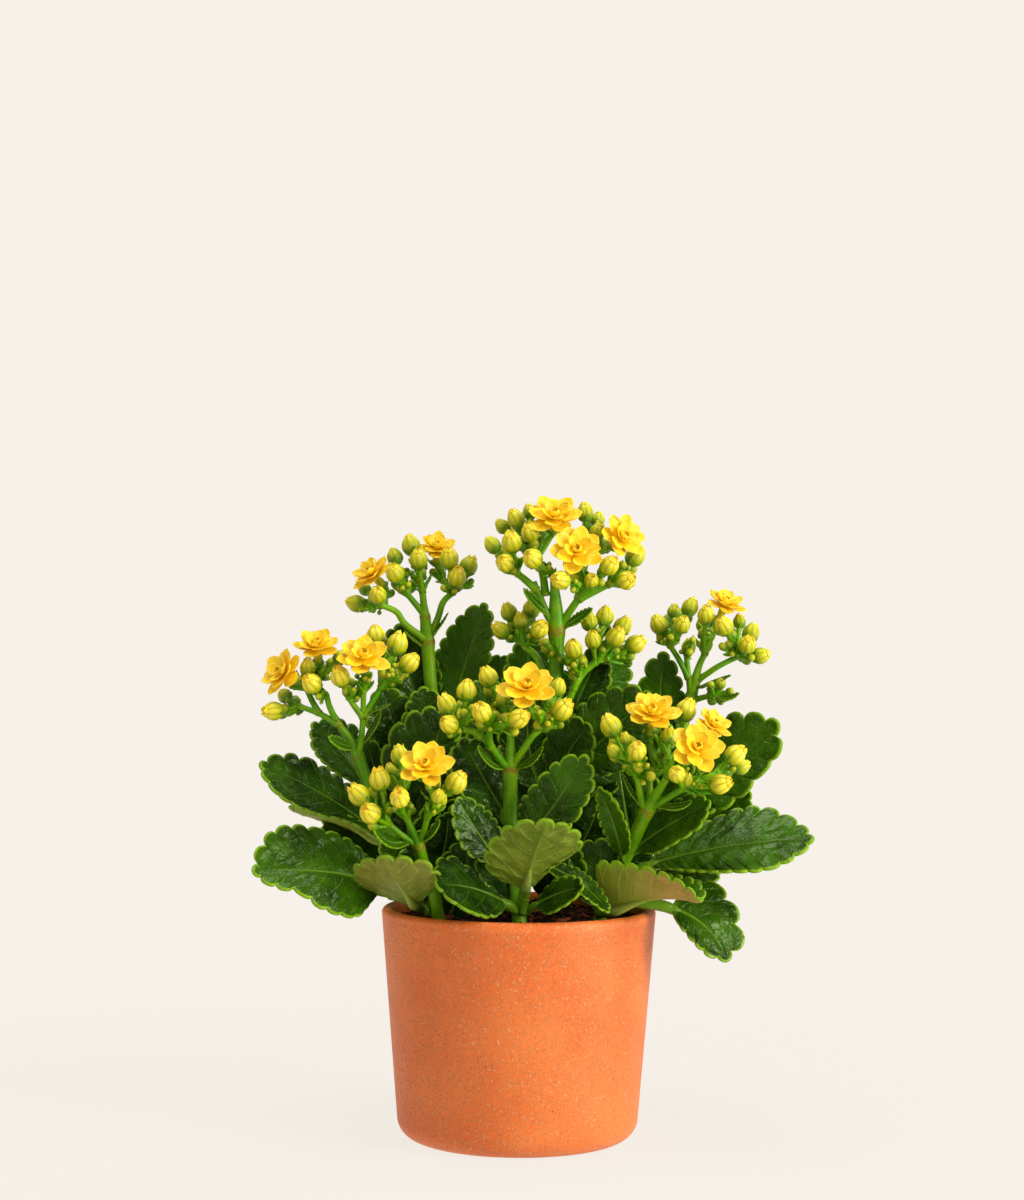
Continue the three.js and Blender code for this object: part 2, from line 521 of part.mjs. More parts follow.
const leaves = [
  { name: 'leaf_left_upper', base: [-44, -6, 105], bend: [-63, -4, 126], tip: [-94, -8, 134],
    width: 30, neck: 0.15, face: [0.2, -0.6, 0.75], cup: 0.12 },
  { name: 'leaf_left_lower', base: [-35, -7, 87], bend: [-61, -34, 104], tip: [-94, -40, 102],
    width: 39, neck: 0.25, face: [0, -0.8, 0.55], cup: 0.05 },
  { name: 'leaf_rim_left', base: [-28, -25, 86], bend: [-40, -34, 91], tip: [-49, -52, 105],
    width: 33, neck: 0.22, face: [0.1, 0.5, 0.85], cup: 0.2, belly: 0.9 },
  { name: 'leaf_rim_round', base: [0, -26, 90], bend: [-10, -36, 97], tip: [-28, -48, 96],
    width: 28, neck: 0.25, face: [-0.2, -0.75, 0.65], cup: 0.05, belly: 0.9 },
  { name: 'leaf_rim_centre', base: [1, -28, 85], bend: [2, -34, 100], tip: [8, -62, 118],
    width: 37, neck: 0.28, face: [0, 0.5, 0.85], cup: 0.2, belly: 0.75 },
  { name: 'leaf_rim_right', base: [28, -21, 86], bend: [43, -38, 93], tip: [62, -52, 92],
    width: 28, neck: 0.1, face: [0.15, 0.7, 0.7], cup: 0.5, belly: 0.75 },
  { name: 'leaf_soil_front', base: [2, -27, 86], bend: [11, -36, 94], tip: [22, -44, 97],
    width: 18, neck: 0.25, face: [0.1, -0.5, 0.85], cup: 0.1 },
  { name: 'leaf_bright_edge', base: [37, -25, 103], bend: [35, -33, 115], tip: [28, -34, 130],
    width: 17, neck: 0.1, face: [0.9, 0.35, 0.2], cup: 0.15 },
  { name: 'leaf_speckled', base: [-2, -21, 106], bend: [6, -34, 113], tip: [21, -34, 139],
    width: 24, neck: 0.2, face: [0.1, -0.85, 0.5], cup: 0.05, belly: 0.9 },
  { name: 'leaf_right_inner', base: [36, -24, 101], bend: [47, -28, 107], tip: [66, -36, 123],
    width: 23, neck: 0.2, face: [-0.1, -0.7, 0.7], cup: 0.1 },
  { name: 'leaf_right_large', base: [32, -21, 95], bend: [57, -24, 110], tip: [104, -28, 112],
    width: 33, neck: 0.25, face: [0, -0.62, 0.78], cup: 0.05 },
  { name: 'leaf_right_drooping', base: [29, -19, 89], bend: [68, -16, 103], tip: [72, -26, 69],
    width: 25, neck: 0.3, face: [0.35, -0.75, 0.4], cup: 0.1 },
  { name: 'leaf_right_curled', base: [50, 19, 114], bend: [72, 14, 125], tip: [94, 6, 151],
    width: 32, neck: 0.2, face: [-0.2, -0.75, 0.6], cup: 0.1 },
  { name: 'leaf_right_under', base: [46, 18, 106], bend: [69, 19, 112], tip: [85, 11, 125],
    width: 24, neck: 0.2, face: [0, -0.4, 0.9], cup: 0.1 },
  { name: 'leaf_tall', base: [-29, 21, 132], bend: [-25, 30, 162], tip: [-14, 28, 193],
    width: 20, neck: 0.15, face: [-0.1, -0.9, 0.35], cup: 0.1 },
  { name: 'leaf_round_right', base: [56, 21, 130], bend: [51, 30, 151], tip: [54, 28, 178],
    width: 17, neck: 0.2, face: [-0.2, -0.9, 0.3], cup: 0.05 },
  { name: 'leaf_middle_right', base: [13, 6, 128], bend: [28, 2, 146], tip: [47, -2, 163],
    width: 30, neck: 0.15, face: [-0.1, -0.85, 0.5], cup: 0.1 },
  { name: 'leaf_behind_left', base: [-31, 21, 140], bend: [-43, 27, 162], tip: [-48, 26, 186],
    width: 22, neck: 0.15, face: [0.1, -0.9, 0.4], cup: 0.1 },
  { name: 'leaf_left_grey', base: [-53, -2, 122], bend: [-62, 16, 136], tip: [-77, 18, 149],
    width: 27, neck: 0.15, face: [0.2, -0.6, 0.75], cup: 0.1 },
  { name: 'leaf_front_dark', base: [-3, -19, 114], bend: [-11, -16, 128], tip: [-21, -12, 145],
    width: 24, neck: 0.15, face: [0.5, -0.8, 0.3], cup: 0.1 },
  { name: 'leaf_front_sheen', base: [-2, -22, 98], bend: [-13, -26, 108], tip: [-22, -26, 125],
    width: 16, neck: 0.15, face: [0.2, -0.85, 0.5], cup: 0.1 },
  { name: 'leaf_middle_small', base: [12, 4, 122], bend: [15, -8, 140], tip: [25, -12, 148],
    width: 22, neck: 0.15, face: [-0.2, -0.85, 0.4], cup: 0.1 },
  { name: 'leaf_middle_left', base: [-26, 18, 108], bend: [-39, -2, 130], tip: [-27, 6, 154],
    width: 37, neck: 0.2, face: [0.3, -0.85, 0.4], cup: 0.1 },
  { name: 'leaf_right_low', base: [38, 16, 90], bend: [59, 6, 100], tip: [72, -2, 97],
    width: 22, neck: 0.25, face: [0, -0.5, 0.85], cup: 0.1 },
  { name: 'leaf_back_right_low', base: [14, 32, 88], bend: [48, 44, 108], tip: [78, 54, 98],
    width: 34, neck: 0.25, face: [0, 0.2, 0.95], cup: 0.1 },
  { name: 'leaf_back_middle_right', base: [13, 33, 92], bend: [26, 62, 110], tip: [36, 92, 100],
    width: 35, neck: 0.25, face: [0, 0.2, 0.95], cup: 0.1 },
  { name: 'leaf_back_middle', base: [-17, 32, 89], bend: [-8, 60, 108], tip: [-6, 94, 96],
    width: 34, neck: 0.25, face: [0, 0.2, 0.95], cup: 0.1 },
  { name: 'leaf_back_middle_left', base: [-16, 31, 96], bend: [-34, 60, 106], tip: [-46, 84, 100],
    width: 34, neck: 0.25, face: [0, 0.2, 0.95], cup: 0.1 },
  { name: 'leaf_back_left_low', base: [-16, 29, 87], bend: [-46, 36, 106], tip: [-80, 40, 98],
    width: 33, neck: 0.25, face: [0, 0.2, 0.95], cup: 0.1 },
  { name: 'leaf_back_right_high', base: [17, 37, 97], bend: [42, 46, 108], tip: [66, 52, 120],
    width: 28, neck: 0.2, face: [-0.3, -0.1, 0.9], cup: 0.15 },
  { name: 'leaf_back_high', base: [17, 37, 99], bend: [6, 58, 104], tip: [4, 82, 116],
    width: 28, neck: 0.2, face: [0, 0.1, 0.95], cup: 0.15 },
  { name: 'leaf_back_left_high', base: [-20, 35, 98], bend: [-44, 42, 113], tip: [-68, 46, 120],
    width: 28, neck: 0.2, face: [0.3, 0, 0.9], cup: 0.15 },
];

// The blade's half width as a share of the whole, from the stalk (0) to the tip (1).
function bladeShare(along, belly) {
  const turn = TIP_TURN * along ** belly;
  return Math.sin(turn) ** (1 - TIP_FULLNESS * along);
}

function leafSolid(leaf, extra, bladeRows) {
  const rows = PETIOLE_ROWS + bladeRows;
  const geometry = new THREE.BoxGeometry(2, 2, 2, 2, rows, 1);
  const midrib = new THREE.QuadraticBezierCurve3(vector(leaf.base), vector(leaf.bend), vector(leaf.tip));
  const face = vector(leaf.face).normalize();
  const place = geometry.attributes.position;
  const stalkHalf = Math.min(PETIOLE_HALF_WIDTH, STALK_WIDTH_SHARE * leaf.width);
  const thin = Math.min(1, leaf.width / FULL_THICKNESS_WIDTH);
  for (let i = 0; i < place.count; i += 1) {
    const across = place.getX(i);
    const row = Math.round(((place.getY(i) + 1) / 2) * rows);
    const side = place.getZ(i);
    const onBlade = Math.max(0, (row - PETIOLE_ROWS) / bladeRows);
    const along = row < PETIOLE_ROWS
      ? (leaf.neck * row) / PETIOLE_ROWS
      : leaf.neck + (1 - leaf.neck) * onBlade;
    const notch = row > PETIOLE_ROWS && row < rows && row % 2 === 0 ? NOTCH : 1;
    const blade = 0.5 * leaf.width * bladeShare(onBlade, leaf.belly ?? BELLY) * notch;
    const half = Math.max(stalkHalf, blade);
    const ahead = midrib.getTangent(along);
    const sideways = ahead.clone().cross(face).normalize();
    const upward = sideways.clone().cross(ahead);
    const rib = THREE.MathUtils.lerp(PETIOLE_HALF_THICKNESS, BLADE_HALF_THICKNESS, Math.min(1, 2 * onBlade));
    const middle = rib + (EDGE_HALF_THICKNESS - rib) * Math.abs(across);
    const end = row === 0 ? -extra : row === rows ? extra : 0;
    const spot = midrib.getPoint(along)
      .addScaledVector(sideways, across * (half + extra))
      .addScaledVector(upward, leaf.cup * Math.abs(across) * half + side * (middle * thin + extra))
      .addScaledVector(ahead, end);
    place.setXYZ(i, spot.x, spot.y, spot.z);
  }
  return solidOf(geometry);
}

// ---- the plant in its pot -----------------------------------------------------------------
// A slightly larger copy of each piece is kept, and a later piece is cut by it wherever the two
// would cross, so that neighbours only just miss each other.

const plant = new THREE.Group();
const placed = [];

function boxesMeet(a, b) {
  const [one, two] = [a.boundingBox(), b.boundingBox()];
  return [0, 1, 2].every((k) => one.min[k] <= two.max[k] && two.min[k] <= one.max[k]);
}

function put(name, solid, clearance, material) {
  const kept = placed
    .filter((other) => boxesMeet(solid, other))
    .reduce((left, other) => left.subtract(other), solid);
  placed.push(clearance);
  plant.add(meshOf(name, largestBody(kept), material));
}

const pot = potSolid();
plant.add(meshOf('pot', pot, clay()));

stems.forEach((stem) => {
  put(stem.name, stemSolid(stem, 0), stemSolid(stem, CUT_GAP), stemGreen());
});

// The soil closes round each stem's root end, and just misses it below.
const soil = stems.reduce((left, stem, i) => {
  const foot = new THREE.CylinderGeometry(stem.radius, stem.radius, 2 * ROOT_GAP, 6).rotateX(Math.PI / 2);
  foot.translate(...stem.path[0]);
  return left.subtract(placed[i]).subtract(solidOf(foot));
}, soilSolid());
plant.add(meshOf('soil', soil, mould()));

flowers.forEach((flower) => {
  put(flower.name, flowerSolid(flower, 0), flowerSolid(flower, CUT_GAP), petalYellow());
});

leaves.forEach((leaf) => {
  const clearance = leafSolid(leaf, CUT_GAP, BLADE_ROWS);
  put(leaf.name, leafSolid(leaf, 0, BLADE_ROWS), clearance, leafGreen());
});

export default plant;
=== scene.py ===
import math
import random
from dataclasses import dataclass, replace

import bmesh
import bpy
import numpy as np
from mathutils import Matrix, Vector


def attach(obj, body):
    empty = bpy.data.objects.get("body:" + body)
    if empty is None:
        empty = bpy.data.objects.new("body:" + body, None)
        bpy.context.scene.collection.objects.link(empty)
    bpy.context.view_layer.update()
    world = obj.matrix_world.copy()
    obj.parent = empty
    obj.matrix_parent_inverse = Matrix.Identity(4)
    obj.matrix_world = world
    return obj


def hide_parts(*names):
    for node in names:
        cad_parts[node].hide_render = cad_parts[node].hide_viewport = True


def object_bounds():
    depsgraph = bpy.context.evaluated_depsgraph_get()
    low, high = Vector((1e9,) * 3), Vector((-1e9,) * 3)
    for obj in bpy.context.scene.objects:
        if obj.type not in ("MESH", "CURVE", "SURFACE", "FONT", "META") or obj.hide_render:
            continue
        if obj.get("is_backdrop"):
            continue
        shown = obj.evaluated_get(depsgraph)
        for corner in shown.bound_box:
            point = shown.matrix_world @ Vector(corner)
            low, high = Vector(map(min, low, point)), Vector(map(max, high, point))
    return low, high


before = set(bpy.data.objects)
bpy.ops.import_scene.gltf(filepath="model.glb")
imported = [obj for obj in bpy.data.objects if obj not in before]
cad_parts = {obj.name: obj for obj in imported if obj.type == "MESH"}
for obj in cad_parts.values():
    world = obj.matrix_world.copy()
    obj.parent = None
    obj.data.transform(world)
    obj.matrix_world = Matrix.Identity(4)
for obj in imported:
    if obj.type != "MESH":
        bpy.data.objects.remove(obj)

CAD_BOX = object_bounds()
MM = 0.001
BODY = "root"
MERGE = 2e-6  # metres within which points are joined
PLANT_SEED = 4
BARK_SEED = 11

# The pot, its drain holes, and the soil.
POT_HEIGHT = 84
POT_RIM_RADIUS = 50
POT_BASE_RADIUS = 44
POT_WALL = 4
POT_FLOOR = 6
POT_FOOT_ROUND = 8
DRAIN_HOLES = 3
DRAIN_RADIUS = 4
DRAIN_CIRCLE = 22
SOIL_BELOW_LIP = 5
SOIL_MOUND = 3
SOIL_GAP = 0.3
BARK_BITS = 620

# Stems: thickness as a share of the stem's radius, and radii of stalks. Heads: how far under two
# buds their stalks fork, and the radii and places of the small buds that fill a head.
BRANCH_SHARE = 0.58
STEM_TAPER = 18
STEM_TIP_SHARE = 0.58
STEM_FOOT_SHARE = 1.12
SPRAY_STALK = 1.2
BUD_STALK = 0.82
FORK_DROP = 3.4
GREEN_BUD = (1.1, 2.0)
FAR_BUD = (1.8, 2.9)
FAR_SHARE = 0.75
FAR_DEPTH = (6, 11)
FLOWER_TUBE = 8
CALYX_PLACE = 0.95
FLOWER_CALYX = 3.6
SEPALS = 4

# Leaves: scallops, outline, veins and quilting, and half thicknesses.
LOBE_LENGTH = 5.8
LOBE_DEPTH = 0.27
FULL_WIDTH = 28
OUTLINE_SKEW = 1.1
VEIN_SPACING = 7
VEIN_SLANT = 0.75
QUILT = 0.42
QUILT_SIZE = 6.5
PILLOW = 0.7
BLADE_HALF = 0.75
EDGE_HALF = 0.62
PETIOLE_HALF = 2.0
FLESH_DEPTH = 1.5


# ---- what grows where ------------------------------------------------------------------------

@dataclass
class Bract:
    """A small leaf on a flower stem: its midrib from base to tip, its width, and where it looks."""
    base: tuple
    bend: tuple
    tip: tuple
    width: float
    face: tuple


@dataclass
class Stem:
    """A flower stem: its main stalk's radius and line, and its branches, buds and bracts. Ripe makes
    the buds yellower, up to 1. A bud is (x, y, z, radius) at its middle."""
    name: str
    radius: float
    path: list
    branches: list
    buds: list
    bracts: list
    ripe: float = 1.0


@dataclass
class Flower:
    """An open flower: the middle of its face, where it looks, its radius and the stem it grows on."""
    name: str
    at: tuple
    faces: tuple
    radius: float
    on: str


@dataclass
class Leaf:
    """The midrib bends from base to tip, face is the way the upper side looks, and the neck is the
    share of the midrib that is bare stalk. Cup folds the halves up from the midrib, wave ruffles the
    margin, and lobes scales the scallops. Left and right are half widths at EDGE_SHARES of the blade,
    where the outline isn't the plain one. Tone goes from dark to light. It holds the leaf's own green
    and painted light and shade as well: high on some leaves that lie in shade, low on leaves deep
    inside the plant. Tan browns the underside."""
    name: str
    base: tuple
    bend: tuple
    tip: tuple
    width: float
    face: tuple
    neck: float = 0.15
    cup: float = 0.1
    wave: float = 0.9
    lobes: float = 1.0
    left: tuple = ()
    right: tuple = ()
    tan: float = 0.0
    tone: float = 0.3


@dataclass
class Ring:
    """A ring of inner leaves: how many, turned by how much, and where they start and end. Arch is how
    far they bend up above their tips."""
    name: str
    count: int
    turn: float
    base_out: float
    base_height: float
    tip_out: float
    tip_height: float
    arch: float
    width: float


STEMS = [
    Stem(
        "stem_top",
        ripe=0.8,
        radius=2.5,
        path=[
            (10, 4, 74), (12, 5, 123), (13, 6, 163), (13.2, 5, 182), (12.6, 3, 196), (11.8, 0, 206),
        ],
        branches=[
            [(13, 4.5, 186), (9.8, 3.5, 190.5), (7, 3, 197), (4.4, 2, 202.5)],
            [(5.8, 2.6, 199.5), (2, 1.5, 203), (-1.2, 1, 205.5)],
            [(9, 3, 197.6), (8, 4, 205), (6, 5, 211)],
            [(13.2, 5, 183.5), (16, 4, 189), (21, 0, 196.5), (25.5, -4, 202)],
            [(21, 0, 196.5), (27, 0, 199.5), (32, 0, 202)],
            [(21, 0, 196.5), (22.5, 3, 205), (24, 5, 212)],
            [(13, 6, 158), (9, 6, 167), (6, 6, 174.7), (1.5, 8, 179)],
            [(13, 6, 150), (17.6, 4, 159), (21.2, 3, 168)],
            [(19, 4, 163), (23, 4, 169.5), (27.7, 4, 173.5)],
        ],
        buds=[
            (-2, 6, 225.8, 3.2), (-7, 12, 223.2, 2.6), (-10.6, 4, 216.1, 2.9), (-3.6, -8, 217, 3.6),
            (4, -14, 211, 3.6), (-5.8, -10, 209.4, 3.3), (3.1, 0, 220.6, 3.3), (3, 14, 228.7, 2.6),
            (23.4, 8, 228.5, 3.1), (28.2, 12, 225.9, 2.6), (27.9, 4, 221.2, 2.9),
            (14.1, -18, 203.3, 3.4), (25.4, -10, 203.4, 2.7), (31.8, -12, 208.7, 3.4),
            (38.2, -8, 203.5, 3.4), (41.9, 4, 212.4, 3.5), (-4.4, 14, 191.4, 3.1), (4, 14, 192.9, 3.2),
            (0, 8, 188.5, 2.7), (-7.3, 10, 184.8, 3.1), (6.8, 0, 185.4, 3.3), (19.1, -4, 178.3, 3.3),
            (25.2, 8, 188.3, 3.1), (31.1, 10, 190.2, 3.3), (37.7, 12, 186.5, 3.3), (26.4, 0, 181.6, 3),
            (34.7, 0, 182.7, 3.5), (42.3, 6, 180.1, 3.4), (36.9, -4, 208.8, 1.5), (9, -1, 180.7, 1.5),
            (22.4, -3, 173.9, 1.3),
        ],
        bracts=[
            Bract((14, 4, 185), (21, 2, 189), (26, 0, 193), 4.5, (-0.4, -0.7, 0.6)),
            Bract((11, 3, 190), (6, 0, 193.5), (1, -2, 200), 4.4, (0.5, -0.7, 0.5)),
        ],
    ),
    Stem(
        "stem_upper_left",
        ripe=0.6,
        radius=2.2,
        path=[
            (-22.7, 14, 74), (-27, 20, 121), (-32.4, 22, 154), (-34.8, 22, 180), (-36.6, 17, 198.5),
        ],
        branches=[
            [(-35, 21, 180.5), (-43, 18, 186.7), (-46.3, 16, 191.3), (-52, 14, 193.8)],
            [(-35.8, 20, 190), (-39, 18, 194), (-42.3, 16, 198)],
            [(-34.8, 22, 180), (-31, 21, 189), (-29, 20, 195), (-25.5, 20, 198.6)],
        ],
        buds=[
            (-41.3, 24, 216.2, 3.5), (-47.4, 26, 211.8, 3), (-46.5, 8, 205.6, 3.4),
            (-38, 12, 210.8, 3.4), (-26.7, 14, 211.3, 3.5), (-19.7, 24, 208.6, 3.4),
            (-23.8, 14, 204.4, 3.5), (-61.3, 16, 194.3, 3.2), (-52.7, 6, 197.6, 3.2),
            (-58.5, 24, 199.7, 2.4), (-41.6, 9, 201.3, 1.1), (-28.7, 14, 200.3, 1.3),
        ],
        bracts=[
            Bract((-34, 21, 182), (-30, 20, 185), (-27, 18, 191), 3, (-0.6, -0.3, 0.7)),
            Bract((-36, 21, 179), (-40, 18, 180), (-43, 16, 184), 3, (0.5, -0.3, 0.8)),
        ],
    ),
    Stem(
        "stem_left",
        radius=2,
        path=[
            (-29, -8, 74), (-43.9, -5, 104.8), (-53.7, -2, 124.5), (-60.4, -4, 142.2),
            (-65, -5.5, 149), (-67.6, -6, 153),
        ],
        branches=[
            [(-65.8, -6, 150.2), (-73, -6, 154.2), (-81, -4, 157)],
            [(-67, -6, 152), (-69.2, -8, 157), (-70.4, -8, 161.5)],
            [(-73, -6, 154.2), (-76, -3, 159), (-78, -1, 163)],
            [(-59, -4, 138), (-57.5, -7, 147), (-57, -8, 153.9), (-56.8, -10, 162.3)],
            [(-57, -8, 153), (-60, -9, 157), (-62, -10, 160.1)],
            [(-57, -8, 153), (-53.5, -8, 159), (-50.7, -8, 163.8)],
        ],
        buds=[
            (-77.7, -2, 170.8, 2.8), (-75.2, -14, 165.4, 3.5), (-64.9, -16, 168.1, 3.5),
            (-53.1, 2, 182.3, 3.6), (-44.9, -4, 179.7, 3.8), (-40.3, -8, 172.9, 3.4),
            (-89.6, -8, 155.1, 3.4), (-86.4, 4, 160.2, 2.7), (-66, 2, 174.5, 2.6),
            (-60, -16, 163.2, 0.9), (-45.7, -10, 171.9, 1), (-46.3, -12, 168.5, 1),
        ],
        bracts=[
            Bract((-57, -8, 154), (-51, -10, 156), (-47, -12, 158), 2.6, (0, -0.4, 0.9)),
            Bract((-58, -5, 143), (-53, -6, 148), (-51, -4, 155), 3.5, (-0.6, -0.6, 0.5)),
            Bract((-60, -5, 142), (-64, -10, 142), (-69, -12, 146), 6, (0.2, -0.6, 0.8)),
        ],
    ),
    Stem(
        "stem_upper_right",
        ripe=0.65,
        radius=2,
        path=[
            (34.9, 16, 74), (43, 18, 100), (52.7, 20, 121.7), (58.7, 22, 142.2), (63.9, 24, 159.3),
            (66.8, 24, 171), (69, 23, 176.3),
        ],
        branches=[
            [(64, 24, 159.3), (63, 23, 168), (62, 22, 176.3)],
            [(63, 23, 167), (60, 22.5, 173), (56.1, 22, 179.2)],
            [(66, 24, 166), (70, 22, 169), (74.5, 20, 172.1), (81.8, 20, 175.8)],
            [(64, 23.5, 158.5), (68, 21, 160), (72, 18, 161)],
        ],
        buds=[
            (51.7, 22, 187.1, 3.3), (57.8, 29, 191.9, 2.6), (63.7, 27, 193.8, 3.1),
            (59.8, 14, 187.3, 3.1), (68.8, 14, 190.9, 3.2), (75.2, 12, 186.9, 3.5),
            (82, 24, 188.5, 2.4), (86.4, 24, 184.3, 3.2), (84.1, 14, 180.1, 3.3),
            (89.5, 19, 175.9, 3.1), (63.8, 14, 181.6, 1.3), (75.1, 16, 179.3, 1.5),
            (74.5, 16, 165.5, 2.0), (78, 17, 162.5, 1.5), (70.8, 15, 165, 1.4),
        ],
        bracts=[
            Bract((66, 23, 164), (72, 18, 165), (78, 14, 168.5), 4, (0, -0.5, 0.9)),
            Bract((72, 18, 161), (77, 15, 158.5), (81, 12, 162), 3.4, (0, -0.6, 0.8)),
        ],
    ),
    Stem(
        "stem_front",
        radius=2.3,
        path=[
            (0.9, -27, 74), (-1.5, -22, 100), (-3.2, -19, 114.2), (-3.4, -22, 136.1), (-3.5, -25, 151),
        ],
        branches=[
            [(-3.4, -22, 135), (-7, -25, 139), (-10.9, -28, 144.6), (-15.5, -30, 149.2)],
            [(-14, -29.5, 147.5), (-17, -31, 149.5), (-20.5, -32, 150.2)],
            [(-10.4, -28, 143.6), (-11, -31, 147), (-10.9, -34, 151.3)],
            [(-3.4, -22, 136), (0, -25, 141), (4, -28, 147.4), (8, -28, 151.1)],
        ],
        buds=[
            (-11.6, -22, 168.4, 3.4), (-19.2, -27, 163.6, 3.5), (-26.2, -30, 158.9, 3.4),
            (-25.1, -38, 152.2, 3.3), (-13.6, -42, 156.8, 3.5), (-6.8, -26, 160.3, 2.1),
            (-0.6, -44, 154.7, 3.4), (13.2, -22, 164.7, 3), (14.7, -32, 157.3, 3.7),
            (-19.9, -36, 156, 1.6), (6.4, -34, 156.3, 1.2), (9.5, -36, 152.5, 1.2),
        ],
        bracts=[
            Bract((-4, -22, 136), (-11, -27, 136), (-15, -30, 144), 5, (0.5, -0.5, 0.7)),
            Bract((-3, -22, 136), (5, -27, 137), (8, -30, 144), 4.5, (-0.5, -0.5, 0.7)),
        ],
    ),
    Stem(
        "stem_front_left",
        radius=2,
        path=[
            (-27.3, -24, 74), (-30, -28, 91), (-33.4, -32, 101), (-36, -36, 110.5),
            (-39.5, -40, 119.3),
        ],
        branches=[
            [(-35.6, -35.5, 109), (-41, -38, 113), (-45.7, -40, 117.1)],
            [(-35.6, -35.5, 109.5), (-33.5, -39, 115), (-32.3, -42, 120)],
        ],
        buds=[
            (-49.1, -42, 133, 3.6), (-56.4, -42, 127.6, 3.6), (-51.9, -50, 121.9, 3.6),
            (-41.5, -55, 127.6, 3.4), (-28.2, -54, 128.1, 2.5), (-22.3, -44, 132.2, 3.7),
            (-42.5, -33, 140.8, 3.2), (-45.5, -34, 135.6, 2.3),
        ],
        bracts=[
            Bract((-38, -36, 111), (-47, -42, 108), (-51, -44, 117), 8, (0.4, -0.4, 0.8)),
            Bract((-35, -36, 111), (-30, -40, 113), (-28, -42, 119), 4.5, (-0.5, -0.5, 0.7)),
        ],
    ),
    Stem(
        "stem_front_right",
        radius=2.2,
        path=[
            (28.5, -20, 74), (30, -19, 87), (37.5, -24, 104), (45.6, -30, 122.8), (51.3, -40, 134),
        ],
        branches=[
            [(45, -29.5, 121.5), (43, -32, 125), (41, -38, 134.5)],
            [(45.6, -30, 122), (46, -28, 127), (46.2, -26, 133)],
            [(45.6, -30, 122), (51, -35, 126), (57, -40, 130.4)],
        ],
        buds=[
            (31.9, -34, 151.8, 3.7), (36.8, -40, 147.6, 2.1), (32.5, -44, 143.6, 2.3),
            (40.4, -50, 144.2, 3.2), (59.2, -20, 157, 3.7), (52.4, -32, 148.2, 2.8),
            (53.9, -55, 136.5, 3), (75.4, -38, 142.2, 3.5), (78.2, -31, 137.6, 2.8),
            (69.7, -46, 132.5, 3.5), (44, -48, 138.9, 1),
        ],
        bracts=[
            Bract((47, -31, 124), (56, -38, 122), (60, -40, 126), 4, (-0.2, -0.5, 0.8)),
            Bract((44, -30.5, 123), (39, -32, 127), (36, -34, 135), 3, (0.7, -0.4, 0.5)),
        ],
    ),
    Stem(
        "stem_back_right",
        radius=2.2,
        path=[
            (12, 31, 74), (16, 36, 92), (22, 41, 108), (24, 44, 117),
        ],
        branches=[
            [(21.5, 40.5, 106), (17, 43, 111), (14, 46, 116)],
            [(21.5, 40.5, 106), (28, 42, 111), (32, 44, 116)],
        ],
        buds=[
            (7, 46, 122, 3.4), (8, 54, 124, 3.5), (15, 57, 121, 3.4), (13, 42, 128, 3.2),
            (40, 42, 121, 3.4), (39, 51, 123, 3.5), (35, 57, 119, 3.2), (33, 41, 128, 3.2),
            (22, 38, 129, 3.3),
        ],
        bracts=[
            Bract((21, 40, 106), (15, 38, 108), (11, 37, 113), 5, (0.5, 0.3, 0.8)),
            Bract((22, 40, 107), (28, 38, 109), (31, 37, 114), 5, (-0.5, 0.3, 0.8)),
        ],
    ),
    Stem(
        "stem_back_left",
        radius=2.2,
        path=[
            (-14, 28, 74), (-18, 33, 92), (-23, 39, 106), (-25, 42, 115),
        ],
        branches=[
            [(-22.5, 38.5, 104), (-28, 41, 109), (-32, 44, 114)],
            [(-22.5, 38.5, 104), (-18, 42, 109), (-15, 46, 114)],
        ],
        buds=[
            (-39, 41, 120, 3.4), (-40, 50, 122, 3.5), (-35, 56, 118, 3.4), (-33, 40, 126, 3.2),
            (-9, 45, 120, 3.4), (-9, 53, 122, 3.4), (-14, 58, 118, 3.2),
        ],
        bracts=[
            Bract((-23, 38, 105), (-29, 36, 107), (-33, 35, 112), 5, (0.5, 0.3, 0.8)),
            Bract((-22, 38, 105), (-17, 36, 108), (-13, 35, 112), 5, (-0.5, 0.3, 0.8)),
        ],
    ),
]

